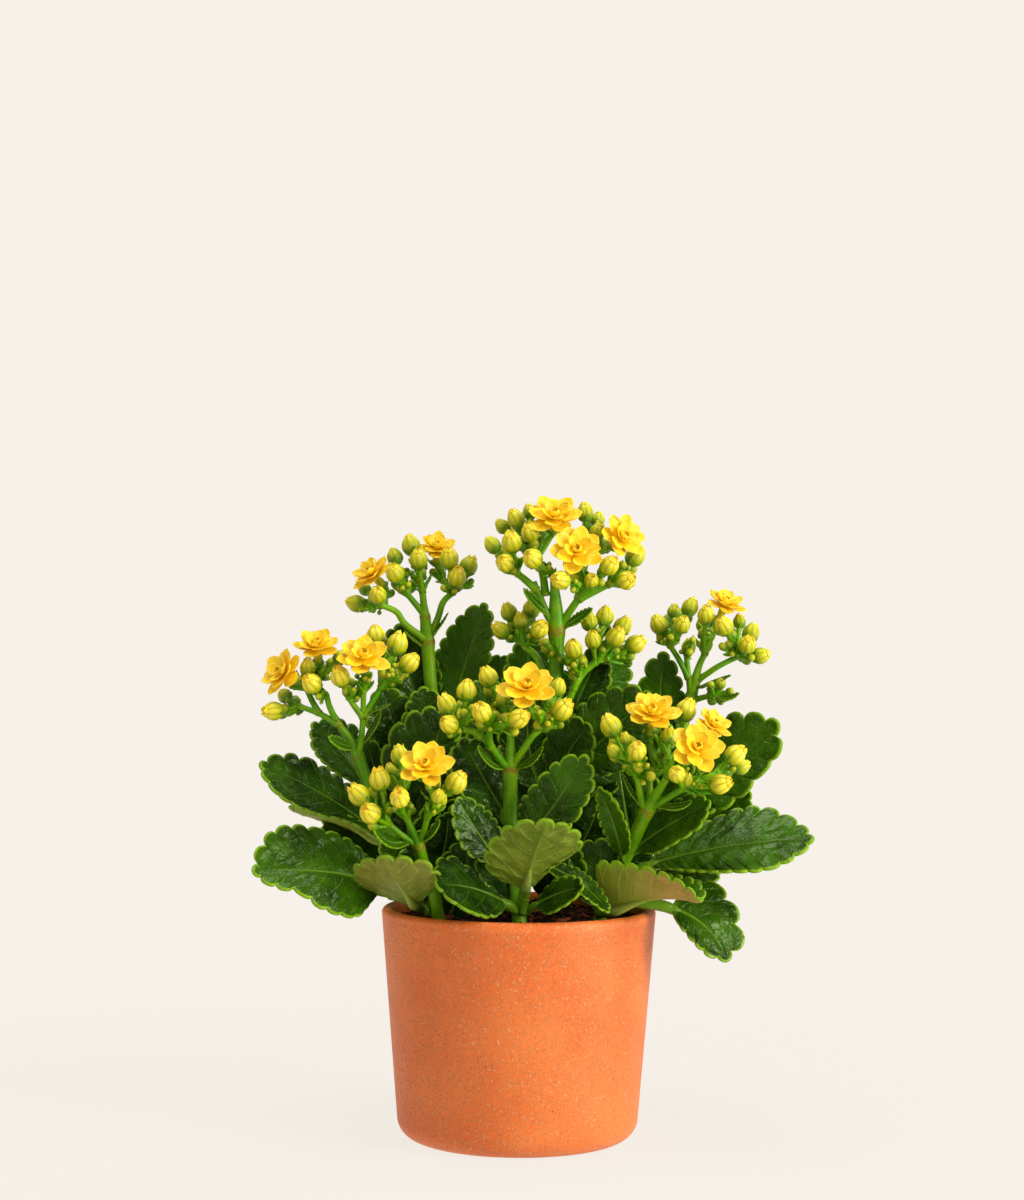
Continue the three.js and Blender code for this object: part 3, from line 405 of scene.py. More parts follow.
FLOWERS = [
    Flower("flower_top_upper", (11.9, 2, 226.6), (0, -0.68, 0.72), 10.5, "stem_top"),
    Flower("flower_top_front", (19.8, -14, 213.8), (0.1, -0.85, 0.5), 10.3, "stem_top"),
    Flower("flower_top_right", (36.5, -3, 219.2), (0.5, -0.72, 0.42), 9.5, "stem_top"),
    Flower("flower_upper_left_side", (-55.3, 14, 205.4), (-0.55, -0.5, 0.65), 8.5, "stem_upper_left"),
    Flower("flower_upper_left_top", (-31.5, 28, 215.4), (0.1, -0.55, 0.8), 8, "stem_upper_left"),
    Flower("flower_left_side", (-86.2, -6, 169), (-0.62, -0.64, 0.45), 9.5, "stem_left"),
    Flower("flower_left_top", (-74.6, 2, 178.6), (0, -0.52, 0.85), 9, "stem_left"),
    Flower("flower_left_front", (-56.5, -16, 175.1), (0.05, -0.68, 0.72), 10.2, "stem_left"),
    Flower("flower_upper_right", (76.8, 25, 195.2), (0.3, -0.45, 0.84), 8.2, "stem_upper_right"),
    Flower("flower_front", (2.1, -34, 165.2), (0, -0.7, 0.7), 11, "stem_front"),
    Flower("flower_front_left", (-32.9, -48, 138.2), (0, -0.75, 0.65), 10, "stem_front_left"),
    Flower("flower_front_right_upper", (46.7, -30, 156.3), (0, -0.6, 0.8), 10.3, "stem_front_right"),
    Flower("flower_front_right_lower", (61.1, -48, 145.1), (0.15, -0.88, 0.45), 9.8, "stem_front_right"),
    Flower("flower_front_right_side", (68.5, -26, 152), (0.45, -0.55, 0.7), 7.5, "stem_front_right"),
    Flower("flower_back_right_upper", (24, 49, 132), (0.05, 0.5, 0.85), 10, "stem_back_right"),
    Flower("flower_back_right_lower", (26, 62, 120), (0.1, 0.9, 0.4), 9.5, "stem_back_right"),
    Flower("flower_back_left", (-24, 50, 129), (-0.1, 0.6, 0.8), 10.2, "stem_back_left"),
]

# Tones here are partly painted light and shade: some leaves that lie in shade get high tones so that they
# look lit.
LEAVES = [
    Leaf("leaf_left_upper", (-44, -6, 104), (-63, -4, 122.5), (-93.5, -8, 135.5), 28, (0.2, -0.6, 0.75),
         cup=0.12, left=(3, 5.5, 10.5, 12, 10), right=(5, 9, 11, 11, 8.5), tone=0.35),
    Leaf("leaf_left_lower", (-35, -7, 87), (-60.5, -34, 102.6), (-92.6, -40, 100.3), 34, (0, -0.8, 0.55),
         neck=0.25, cup=0.05, left=(8, 17, 15.5, 8.5, 6), right=(8, 14, 17, 17, 13), tone=0.5),
    Leaf("leaf_rim_left", (-34, -18, 84), (-40, -34, 91), (-47, -48, 106), 31, (0.1, 0.5, 0.85), neck=0.2,
         cup=0.2, left=(4, 9, 14, 15, 11), right=(10, 14, 16, 15.5, 11), tan=0.3, tone=0.05),
    Leaf("leaf_rim_round", (-1, -28, 86), (-15, -40, 97), (-28.5, -47, 96.5), 27, (-0.2, -0.75, 0.65),
         neck=0.12, cup=0.05, left=(6, 10, 12, 12, 8.5), right=(2, 4, 8, 12, 10), tone=0.15),
    Leaf("leaf_rim_centre", (1, -28, 85), (2, -34, 100), (9, -60, 120), 31, (0, 0.5, 0.85), neck=0.28,
         cup=0.2, left=(4, 7, 12, 15, 10.5), right=(11, 15, 15.5, 13, 9.5), tone=0.15),
    Leaf("leaf_rim_right", (28, -25, 84.5), (50, -42, 96), (62.5, -50, 92), 22, (0.1, 0.25, 0.95),
         neck=0.05, cup=1.2, left=(5, 8.5, 9.5, 8.5, 6.5), right=(10, 9.5, 8, 7, 5.5), tan=1.0, tone=0.9),
    Leaf("leaf_soil_front", (2, -27, 85), (11, -36, 93), (22, -44, 96), 15, (0.1, -0.8, 0.6), neck=0.2,
         cup=0.05, left=(2, 5, 6, 5.5, 4), right=(3, 6.5, 7.5, 6.5, 4.5), tone=0.35),
    Leaf("leaf_bright_edge", (37, -25, 103), (35, -33, 115), (28, -34, 130), 11, (-0.5, -0.85, 0.2),
         neck=0.1, cup=0.15, left=(3, 4, 4.5, 4, 2.5), right=(3.5, 5, 5, 4, 2.5), tone=1),
    Leaf("leaf_speckled", (-2, -21, 106), (6, -34, 113), (23, -34, 140.5), 20, (0.1, -0.85, 0.5),
         neck=0.2, cup=0.05, left=(5, 9.4, 10, 9, 7), right=(4, 8, 9.2, 8.8, 7), tone=0.5),
    Leaf("leaf_right_inner", (38, -24, 105), (51, -28, 116), (66.5, -36, 125), 18, (-0.1, -0.7, 0.7),
         neck=0.1, left=(4, 7, 8, 7.5, 5.5), right=(5, 8.5, 9.5, 9.5, 7.5), tone=0.5),
    Leaf("leaf_right_large", (32, -21, 95), (57, -24, 109.2), (103.3, -28, 111.8), 32, (0, -0.62, 0.78),
         neck=0.25, cup=0.05, left=(6, 11, 14.5, 16.5, 12), right=(4, 8.6, 13, 14, 9.5), tone=0.6),
    Leaf("leaf_right_drooping", (29, -19, 88), (66.5, -22, 91), (73.3, -26, 68.9), 24, (0.35, -0.75, 0.4),
         neck=0.4, left=(12.5, 16, 14.5, 11, 7.5), right=(4.5, 7, 8.5, 8, 5.5), tone=0.45),
    Leaf("leaf_right_curled", (50, 19, 114), (72, 14, 125), (94, 6, 151), 30, (-0.2, -0.75, 0.6),
         neck=0.2, left=(6, 11, 15, 16.5, 12), right=(7, 11, 12.5, 11.5, 9.5), lobes=1.5, tone=0.8),
    Leaf("leaf_right_under", (46, 18, 106), (69, 19, 112), (85, 11, 125), 20, (0, -0.85, 0.5), neck=0.2,
         left=(5, 8, 9, 8, 6), right=(5, 9, 11, 10, 7), tone=1),
    Leaf("leaf_tall", (-29, 21, 132), (-25, 30, 162), (-13.5, 28, 194), 20, (-0.1, -0.9, 0.35),
         left=(6, 10, 11.5, 10.5, 7), right=(6, 8, 8.5, 8, 6), tone=0.8),
    Leaf("leaf_round_right", (56, 21, 130), (51, 30, 151), (54, 28, 176), 17, (-0.2, -0.9, 0.3), neck=0.2,
         cup=0.05, lobes=1.5, tone=0.75),
    Leaf("leaf_middle_right", (13, 6, 127), (28, 2, 143), (47, -2, 161.5), 30, (-0.1, -0.85, 0.5),
         tone=0.5),
    Leaf("leaf_behind_left", (-31, 21, 140), (-42, 27, 162), (-45.5, 26, 186), 22, (0.1, -0.9, 0.4),
         tone=0.3),
    Leaf("leaf_left_grey", (-53, -2, 122), (-62, 16, 136), (-77, 18, 149), 20, (0.2, -0.6, 0.75),
         left=(4, 8, 9, 8.8, 5.8), right=(3, 5, 8, 12, 8), tone=0.5),
    Leaf("leaf_front_dark", (-3, -19, 114), (-11, -16, 128), (-21, -12, 145), 24, (0.5, -0.8, 0.3),
         tone=0.1),
    Leaf("leaf_front_sheen", (-2, -22, 98), (-13, -26, 108), (-22, -26, 125), 16, (0.2, -0.85, 0.5),
         tone=0.25),
    Leaf("leaf_middle_small", (12, 4, 122), (15, -8, 141), (25, -12, 150.5), 22, (-0.2, -0.85, 0.4),
         tone=0.4),
    Leaf("leaf_middle_left", (-26, 18, 108), (-39, -2, 130), (-27, 6, 154), 37, (0.3, -0.85, 0.4),
         neck=0.2, tone=0.35),
    Leaf("leaf_right_low", (38, 16, 90), (59, 6, 99), (72, -2, 94.5), 22, (0, -0.5, 0.85), neck=0.25,
         tone=0.4),
    Leaf("leaf_back_right_low", (14, 32, 88), (48, 44, 108), (78, 54, 98), 34, (0, 0.2, 0.95), neck=0.25),
    Leaf("leaf_back_middle_right", (13, 33, 92), (26, 62, 110), (36, 92, 100), 35, (0, 0.2, 0.95),
         neck=0.25),
    Leaf("leaf_back_middle", (-17, 32, 89), (-8, 60, 108), (-6, 94, 96), 34, (0, 0.2, 0.95), neck=0.25),
    Leaf("leaf_back_middle_left", (-16, 31, 96), (-34, 60, 106), (-46, 84, 100), 34, (0, 0.2, 0.95),
         neck=0.25),
    Leaf("leaf_back_left_low", (-16, 29, 87), (-46, 36, 106), (-80, 40, 98), 33, (0, 0.2, 0.95),
         neck=0.25),
    Leaf("leaf_back_right_high", (17, 37, 97), (42, 46, 108), (66, 52, 120), 28, (-0.3, -0.1, 0.9),
         neck=0.2, cup=0.15),
    Leaf("leaf_back_high", (17, 37, 99), (6, 58, 104), (4, 82, 116), 28, (0, 0.1, 0.95), neck=0.2,
         cup=0.15),
    Leaf("leaf_back_left_high", (-20, 35, 98), (-44, 42, 113), (-68, 46, 120), 28, (0.3, 0, 0.9),
         neck=0.2, cup=0.15),
]

# Small leaves between the others, too small or too deep inside the plant to be parts of their own.
INNER_LEAVES = [
    Leaf("low_right", (12, -22, 107), (21, -32, 101), (31, -40, 87), 9, (0.5, -0.7, 0.4), cup=0.15),
    Leaf("high_middle", (12, 10, 137), (-2, 26, 157), (-9.5, 30, 174.5), 18, (0.1, -0.9, 0.3), tone=0.5),
    Leaf("high_right", (14, 10, 144), (28, 28, 159), (38.5, 30, 177), 20, (-0.1, -0.9, 0.3), tone=0.6),
    Leaf("beside_front", (-18, -8, 94), (-25, -14, 106), (-26, -14, 119), 14, (0.2, -0.9, 0.3)),
    Leaf("behind_top", (14, 7, 137), (22, 14, 159), (30, 14, 178), 18, (-0.2, -0.9, 0.3)),
    Leaf("low_left", (-44, -4, 104), (-62, 2, 115), (-84, 4, 119), 20, (0.1, 0.4, 0.9), tone=0.8),
    Leaf("inner_left", (-36, -6, 92), (-43, -18, 104), (-50, -22, 106), 16, (0.1, -0.7, 0.7)),
    Leaf("gap_left", (-32, 16, 118), (-46, 14, 140), (-51, 14, 163), 21, (0.1, -0.9, 0.3)),
    Leaf("gap_near_left", (-24, 14, 118), (-34, 12, 140), (-36, 12, 163), 20, (0.1, -0.9, 0.3)),
    Leaf("gap_middle", (0, 6, 116), (1, 6, 138), (3, 8, 158), 22, (0, -0.9, 0.3), tone=0.2),
    Leaf("gap_front", (-8, 12, 118), (-12, 10, 140), (-13, 12, 167), 22, (0.1, -0.9, 0.3)),
    Leaf("gap_low_left", (-38, 8, 108), (-50, 8, 122), (-57, 10, 144), 14, (0.1, -0.9, 0.3)),
    Leaf("high_centre", (6, 12, 138), (2, 22, 158), (3, 27, 181), 20, (0, -0.9, 0.3), tone=0.6),
    Leaf("arch_top", (12, 7, 124), (10, 26, 150), (12, 56, 142), 24, (0, -0.3, 0.95), neck=0.25),
    Leaf("arch_back_left", (-26.5, 21, 120), (-22, 38, 150), (-22, 60, 140), 24, (0, -0.3, 0.95),
         neck=0.2),
    Leaf("arch_far_left", (-28, 21, 124), (-44, 36, 146), (-58, 48, 130), 24, (0.3, -0.2, 0.95),
         neck=0.2),
    Leaf("arch_back_right", (50, 20, 116), (48, 38, 144), (54, 58, 132), 22, (0, -0.3, 0.95), neck=0.2),
    Leaf("arch_right", (31, -18, 90), (50, 4, 120), (72, 8, 112), 26, (-0.4, 0, 0.9), neck=0.25),
    Leaf("arch_far_right", (43, 19, 100), (56, 32, 128), (70, 40, 110), 24, (-0.4, 0, 0.9), neck=0.2),
    Leaf("arch_left", (-38, -5, 93), (-54, 14, 120), (-72, 20, 107), 26, (0.4, 0, 0.9), neck=0.2),
    Leaf("arch_side_left", (-25.5, 18, 108), (-44, 32, 132), (-64, 38, 119), 26, (0.4, 0, 0.9), neck=0.2),
    Leaf("under_left", (-36, 8, 92), (-52, 6, 109), (-72, 8, 115), 24, (0.1, -0.8, 0.6)),
    Leaf("dark_far_left", (-34, 6, 98), (-40, 4, 114), (-44, 4, 132), 24, (0.1, -0.9, 0.3)),
    Leaf("dark_far_right", (42, 10, 108), (50, 4, 126), (54, 6, 150), 26, (-0.1, -0.9, 0.3)),
    Leaf("dark_gap", (22, 4, 92), (27, -6, 108), (29, -8, 126), 24, (0, -0.9, 0.3), neck=0.1),
    Leaf("dark_gap_left", (-14, 4, 92), (-15, -6, 108), (-16, -8, 126), 24, (0, -0.9, 0.3), neck=0.1),
    Leaf("dark_right", (36, 14, 104), (38, 4, 122), (36, 6, 140), 26, (0, -0.9, 0.3)),
    Leaf("dark_middle", (8, 10, 100), (6, 4, 118), (2, 8, 134), 28, (0, -0.9, 0.3)),
    Leaf("dark_left", (-20, 12, 92), (-26, -2, 108), (-30, -2, 122), 26, (0.1, -0.9, 0.3)),
    Leaf("low_front_one", (-30, -6, 82), (-32, -14, 98), (-36, -14, 112), 22, (0.2, -0.9, 0.3), neck=0.1),
    Leaf("low_front_two", (-18, -12, 82), (-17, -20, 96), (-19, -20, 110), 20, (0, -0.9, 0.3), neck=0.1),
    Leaf("low_front_three", (-5, -12, 82), (-6, -20, 98), (-4, -19, 114), 22, (0.1, -0.9, 0.3), neck=0.1),
    Leaf("low_front_four", (10, -12, 82), (13, -20, 97), (15, -20, 112), 22, (-0.1, -0.9, 0.3), neck=0.1),
    Leaf("low_front_five", (22, -10, 82), (27, -20, 96), (30, -20, 110), 22, (-0.1, -0.9, 0.3), neck=0.1),
    Leaf("low_front_six", (32, -4, 84), (39, -10, 98), (44, -12, 110), 20, (-0.2, -0.9, 0.3), neck=0.1),
]

FILLER_RINGS = [
    Ring("low", 11, 0.1, 16, 84, 47, 103, 5, 24),
    Ring("middle", 9, 0.4, 12, 92, 36, 124, 2, 22),
    Ring("high", 7, 0.2, 10, 108, 24, 142, 0, 19),
]
FILLER_FRONT = -0.25


# ---- meshes ----------------------------------------------------------------------------------

def unit(vectors):
    """Vectors, or one vector, at length 1."""
    vectors = np.asarray(vectors, float)
    return vectors / np.maximum(np.linalg.norm(vectors, axis=-1, keepdims=True), 1e-9)


def ease(low, high, value):
    """0 below low, 1 above high, and smooth between."""
    share = np.clip((value - low) / (high - low), 0, 1)
    return share * share * (3 - 2 * share)


def bell(value, width):
    """1 where the value is 0, falling off on both sides within about this width."""
    return np.exp(-(value / width)**2)


class Surface:
    """The points, faces and named per-point values of one mesh that is being made."""

    def __init__(self, *names):
        self.points = []
        self.faces = []
        self.values = {name: [] for name in names}
        self.count = 0

    def loft(self, grid, **values):
        """Adds rows of points, joined row to row and closed round each row. A value that isn't given
        is 0."""
        rows, across = grid.shape[:2]
        here = self.count + np.arange(rows * across).reshape(rows, across)
        beside = np.roll(here, -1, axis=1)
        quads = np.stack([here[:-1], beside[:-1], beside[1:], here[1:]], axis=-1)
        self.points.append(grid.reshape(-1, 3))
        self.faces.append(quads.reshape(-1, 4))
        for name, made in self.values.items():
            value = np.broadcast_to(np.asarray(values.get(name, 0.0), float), (rows, across))
            made.append(value.reshape(-1))
        self.count += rows * across

    def piece(self, name, material, replaced=()):
        """The finished object, riding on the part's body."""
        mesh = bpy.data.meshes.new(name)
        points = np.concatenate(self.points) * MM
        mesh.from_pydata(points.tolist(), [], np.concatenate(self.faces).tolist())
        for key, made in self.values.items():
            mesh.attributes.new(key, "FLOAT", "POINT").data.foreach_set("value", np.concatenate(made))
        return finished(mesh, material, replaced)


def finished(mesh, material, replaced=()):
    """An object with a clean mesh: touching points joined, faces turned out, and smooth."""
    work = bmesh.new()
    work.from_mesh(mesh)
    bmesh.ops.remove_doubles(work, verts=work.verts, dist=MERGE)
    bmesh.ops.dissolve_degenerate(work, edges=work.edges, dist=MERGE)
    bmesh.ops.recalc_face_normals(work, faces=work.faces)
    for face in work.faces:
        face.smooth = True
    work.to_mesh(mesh)
    work.free()
    mesh.materials.append(material)
    thing = bpy.data.objects.new(mesh.name, mesh)
    bpy.context.scene.collection.objects.link(thing)
    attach(thing, BODY)
    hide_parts(*replaced)
    return thing


def smooth_line(points, steps):
    """A Catmull-Rom curve through the points, with so many steps to each span."""
    points = np.asarray(points, float)
    if len(points) < 3:
        share = np.linspace(0, 1, steps + 1)[:, None]
        return points[0] + (points[1] - points[0]) * share
    ends = np.vstack([2 * points[0] - points[1], points, 2 * points[-1] - points[-2]])
    made = []
    for i in range(len(points) - 1):
        a, b, c, d = ends[i:i + 4]
        for t in np.arange(steps) / steps:
            place = 2 * b + (c - a) * t
            place = place + (2 * a - 5 * b + 4 * c - d) * t**2
            place = place + (3 * b - a - 3 * c + d) * t**3
            made.append(0.5 * place)
    made.append(points[-1])
    return np.array(made)


def turned_to(axis):
    """Two directions square to the axis."""
    axis = unit(axis)
    one = unit(np.cross(axis, (0.31, 0.2, 0.93) if abs(axis[2]) < 0.8 else (1, 0.1, 0)))
    return one, np.cross(axis, one)


def across_frames(line):
    """Two directions square to the line at each of its points, turning as little as they can."""
    ahead = unit(np.gradient(line, axis=0))
    firsts = [turned_to(ahead[0])[0]]
    for direction in ahead[1:]:
        last = firsts[-1]
        firsts.append(unit(last - direction * np.dot(last, direction)))
    firsts = np.array(firsts)
    return firsts, np.cross(ahead, firsts)


def round_turns(sides):
    return np.linspace(0, 2 * math.pi, sides, endpoint=False)


def rings(middles, one, two, wide, deep, turn):
    """Points round these middles: out by wide along one, and by deep along two."""
    return middles + one * (wide * np.cos(turn))[..., None] + two * (deep * np.sin(turn))[..., None]


def way_out(one, two, angle):
    """The direction at this angle from one, turning towards two."""
    return one * math.cos(angle) + two * math.sin(angle)


def spokes(one, two, start, count, wobble, rng):
    """Directions all round, evenly spaced but for a wobble in their angles."""
    for i in range(count):
        yield way_out(one, two, start + i * 2 * math.pi / count + rng.uniform(-wobble, wobble))


def capped(grid, line):
    """The grid with its first and last rows closed to the ends of the line."""
    ends = [np.repeat(line[i][None], grid.shape[1], axis=0)[None] for i in (0, -1)]
    return np.concatenate([ends[0], grid, ends[1]])


def add_tube(surface, line, radii, sides, **values):
    """A closed round tube along the line."""
    line = np.asarray(line, float)
    radii = np.broadcast_to(np.asarray(radii, float), len(line))[:, None]
    one, two = across_frames(line)
    grid = rings(line[:, None], one[:, None], two[:, None], radii, radii, round_turns(sides))
    padded = {}
    for name, value in values.items():
        value = np.broadcast_to(np.asarray(value, float), len(line))
        padded[name] = np.concatenate([value[:1], value, value[-1:]])[:, None]
    surface.loft(capped(grid, line), **padded)


def add_blade(surface, line, beside, outward, half, thick, **values):
    """A small closed blade along the line: half its width goes beside, half its thickness outward."""
    grid = rings(line[:, None], beside, outward, half[:, None], thick[:, None], round_turns(8))
    surface.loft(capped(grid, line), **values)


# ---- leaves ----------------------------------------------------------------------------------

SIDE_SHARES = np.array([0, .04, .1, .18, .27, .36, .45, .54, .63, .71, .78, .84, .89, .93, .96, .985, 1])
RIM_TURNS = np.radians([62, 30, 0, -30, -62])
EDGE_SHARES = (0.12, 0.3, 0.5, 0.7, 0.88)
LOBE_SPOTS = np.array([0, .03, .09, .2, .35, .5, .65, .8, .91, .97])
LEAF_VALUES = ("rim", "under", "across", "beat", "up", "stalk", "tone", "tan")


def bezier(base, bend, tip, share):
    """Places and directions along a bend from base to tip, and straight on past the tip."""
    base, bend, tip = (np.array(p, float) for p in (base, bend, tip))
    inside = np.clip(share, 0, 1)[:, None]
    past = (share - 1).clip(0)[:, None]
    place = (1 - inside)**2 * base + 2 * inside * (1 - inside) * bend + inside**2 * tip
    slope = 2 * (1 - inside) * (bend - base) + 2 * inside * (tip - bend)
    return place + past * slope, unit(slope)


def midrib_length(leaf):
    line, _ = bezier(leaf.base, leaf.bend, leaf.tip, np.linspace(leaf.neck, 1, 40))
    return np.linalg.norm(np.diff(line, axis=0), axis=1).sum()


def smooth_edge(leaf, length, side):
    """The smooth edge of one side, from stalk to tip: half widths and heights."""
    halves = leaf.right if side > 0 else leaf.left
    if not halves:
        share = np.linspace(0, 1, 200)
        rounded = np.sin(math.pi * share**OUTLINE_SKEW)**(1 - 0.5 * share)
        return 0.5 * leaf.width * rounded, share * length
    points = [(0, 0)] + [(half, share * length) for half, share in zip(halves, EDGE_SHARES)]
    points += [(0, length), (-halves[-1], EDGE_SHARES[-1] * length)]
    line = smooth_line(points, 30)[:-30]
    return line[:, 0].clip(0), line[:, 1]


def margin(leaf, length, rng, side):
    """One side of the scalloped outline, from stalk to tip: half widths, heights, the heights on the
    midrib that they spread from, and how far each lobe swells, from 0 in a notch to 1."""
    half, height = smooth_edge(leaf, length, side)
    share = height / length
    run = np.concatenate([[0], np.cumsum(np.hypot(np.diff(half), np.diff(height)))])
    whole = run[-1]
    outward = unit(np.stack([np.gradient(height), -np.gradient(half)], axis=1))
    outward[-1] = (0, 1)
    lobe = LOBE_LENGTH * leaf.lobes * (0.4 + 0.6 * min(1, leaf.width / FULL_WIDTH))
    lobes = max(3, round(length / lobe * 1.25))
    first = 0.5 * whole / lobes
    weights = np.array([(1 - 0.5 * i / lobes) * rng.uniform(0.8, 1.2) for i in range(lobes)])
    ends = first + np.cumsum(weights) / weights.sum() * (whole - first)
    notches = np.concatenate([[-first, first], ends])
    rows = [(0.0, 0.0, 0.5)]
    for start, end in zip(notches, notches[1:]):
        deep = LOBE_DEPTH * (end - start) * (1 if start < 0 else rng.uniform(0.8, 1.2))
        for spot in LOBE_SPOTS[LOBE_SPOTS >= 0.5] if start < 0 else LOBE_SPOTS:
            swell = 1 - abs(2 * spot - 1)**3
            rows.append((whole - start - spot * (end - start), deep * (swell - 0.6), swell))
    spots, out, swell = np.array(sorted(rows)).T
    at = np.interp(spots, run, share)
    out = out * ease(0.05, 0.3, at)
    half, height = np.interp(spots, run, half), np.interp(spots, run, height)
    root = np.maximum.accumulate(np.clip(height - 0.6 * half, 0, 0.93 * length))
    normal = [np.interp(spots, run, outward[:, i]) for i in (0, 1)]
    return half + out * normal[0], height + out * normal[1], root, swell


def bulges(along, across, rng, size):
    """Smooth uneven bulges about this far apart, from about -1 to 1."""
    total = 0
    for _ in range(4):
        turn = rng.uniform(0, math.pi)
        step = 2 * math.pi / (size * rng.uniform(0.75, 1.35))
        run = along * math.cos(turn) + across * math.sin(turn)
        total = total + np.sin(run * step + rng.uniform(0, 6))
    return total / 2.5


def add_leaf(surface, leaf, rng):
    """A thick blade with a rounded scalloped rim, sunken veins, a keel beneath and its stalk."""
    length = midrib_length(leaf)
    size = min(1, leaf.width / FULL_WIDTH)
    body = 0.35 + 0.65 * size
    left, right = (margin(leaf, length, rng, side) for side in (-1, 1))
    back = slice(-2, None, -1)
    edge_across = np.concatenate([-left[0], right[0][back]])[:, None]
    edge_along = np.concatenate([left[1], right[1][back]])[:, None]
    root = 0.5 * (left[2] + right[2])
    roots = np.concatenate([root, root[back]])[:, None]
    swell = np.concatenate([left[3], right[3][back]])[:, None]

    # One row of the section runs out over the upper side, round the rim and back beneath.
    flat = np.ones(len(SIDE_SHARES))
    out_share = np.concatenate([SIDE_SHARES, np.ones(len(RIM_TURNS)), SIDE_SHARES[::-1]])[None]
    side_up = np.concatenate([flat, np.sin(RIM_TURNS), -flat])[None]
    rim_out = np.concatenate([0 * flat, np.cos(RIM_TURNS), 0 * flat])[None]
    reach = np.hypot(edge_across, edge_along - roots)
    beyond = rim_out * EDGE_HALF * body / np.maximum(reach, 1)
    across = edge_across * (out_share + beyond)
    along = roots + (edge_along - roots) * (out_share + beyond)

    wide = np.abs(across)
    spread = wide / (0.5 * leaf.width)
    up = along / length
    spacing = VEIN_SPACING * body
    beat = (along - VEIN_SLANT * wide) / spacing + 0.5 * (across > 0) + 0.2 * np.sin(wide / 3)
    to_edge = (1 - out_share) * reach
    fade = ease(0, 3, to_edge) * ease(0, 0.2, up)
    groove = bell(np.abs(beat % 1 - 0.5) * spacing, 0.8) * ease(1, 3, wide)
    relief = size * fade * (QUILT * bulges(along, across, rng, QUILT_SIZE) * ease(0.5, 4, wide)
                            - 0.18 * groove - 0.4 * bell(wide, 1.2))
    pillow = PILLOW * body * (swell - 0.6) * ease(0.5, 0.95, out_share)
    thick = body * (BLADE_HALF * (1 - out_share) + EDGE_HALF * out_share)
    thick = thick * (0.25 + 0.75 * ease(0, 2.5, reach))
    wave = np.sin(along / rng.uniform(5, 8) + rng.uniform(0, 6) + 1.7 * (across > 0))
    lift = leaf.cup * wide * (1.2 - 0.8 * up) + leaf.wave * size * wave * spread**2

    share_along = leaf.neck + (1 - leaf.neck) * up
    place, ahead = bezier(leaf.base, leaf.bend, leaf.tip, share_along.reshape(-1))
    place, ahead = (found.reshape(share_along.shape + (3,)) for found in (place, ahead))
    sideways = unit(np.cross(ahead, unit(leaf.face)))
    upward = np.cross(sideways, ahead)
    height = side_up * thick + relief + pillow + lift
    grid = place + sideways * across[..., None] + upward * height[..., None]
    rim = np.where(rim_out > 0, 1.0, bell(to_edge, 0.4)) * ease(0.05, 0.2, up)
    surface.loft(grid, rim=rim, under=np.where(side_up < 0, 1.0, 0.0), across=wide, beat=beat, up=up,
                 stalk=bell(up, 0.06), tone=leaf.tone, tan=leaf.tan)

    # The stalk runs on as a keel beneath the midrib.
    share = np.linspace(0, leaf.neck + 0.8 * (1 - leaf.neck), 26)
    line, ahead = bezier(leaf.base, leaf.bend, leaf.tip, share)
    sideways = unit(np.cross(ahead, unit(leaf.face)))
    on_blade = ease(leaf.neck - 0.04, leaf.neck + 0.12, share)
    girth = min(PETIOLE_HALF, 0.3 + 0.075 * leaf.width)
    thick = girth * (1 - 0.85 * ease(leaf.neck - 0.05, 0.5 + 0.5 * leaf.neck, share)) + 0.1
    line = line - np.cross(sideways, ahead) * (on_blade * (thick - 0.2 * body))[:, None]
    add_tube(surface, line, thick, 12, under=ease(0.1, 0.6, on_blade), stalk=1 - 0.75 * on_blade,
             tone=leaf.tone, tan=leaf.tan)


# ---- flower stems and buds -------------------------------------------------------------------

STEM_VALUES = ("joint", "tone")
BUD_VALUES = ("rise", "seam", "ripe", "calyx", "crown")


def sprout(ends, place):
    """Where a stalk to this place starts: the nearest branch end, if it isn't above the place."""
    def cost(end):
        return np.linalg.norm(np.array(end) - place) + 3 * max(0, end[2] - place[2] + 4)
    return np.array(min(ends, key=cost), float)


def branch_ends(stem):
    return [stem.path[-1]] + [branch[-1] for branch in stem.branches]


def add_main_stem(surface, stem, rng):
    """The main stem and its branches, thicker and scarred where they part."""
    line = smooth_line(stem.path, 8)
    swell = np.zeros(len(line))
    for branch in stem.branches:
        swell = np.maximum(swell, bell(np.linalg.norm(line - np.array(branch[0], float), axis=1), 1.6))
    to_end = np.linalg.norm(line - line[-1], axis=1)
    taper = STEM_TIP_SHARE + (STEM_FOOT_SHARE - STEM_TIP_SHARE) * ease(2, STEM_TAPER, to_end)
    girth = stem.radius * taper * (1 + 0.2 * swell)
    add_tube(surface, line, girth, 18, joint=swell, tone=rng.random())
    for branch in stem.branches:
        line = smooth_line(branch, 8)
        run = np.linspace(0, 1, len(line))
        ends = bell(run, 0.1) + 0.6 * bell(1 - run, 0.08)
        girth = BRANCH_SHARE * stem.radius * (1.05 - 0.2 * run) * (1 + 0.25 * ends)
        add_tube(surface, line, girth, 14, joint=0.8 * ends, tone=rng.random())


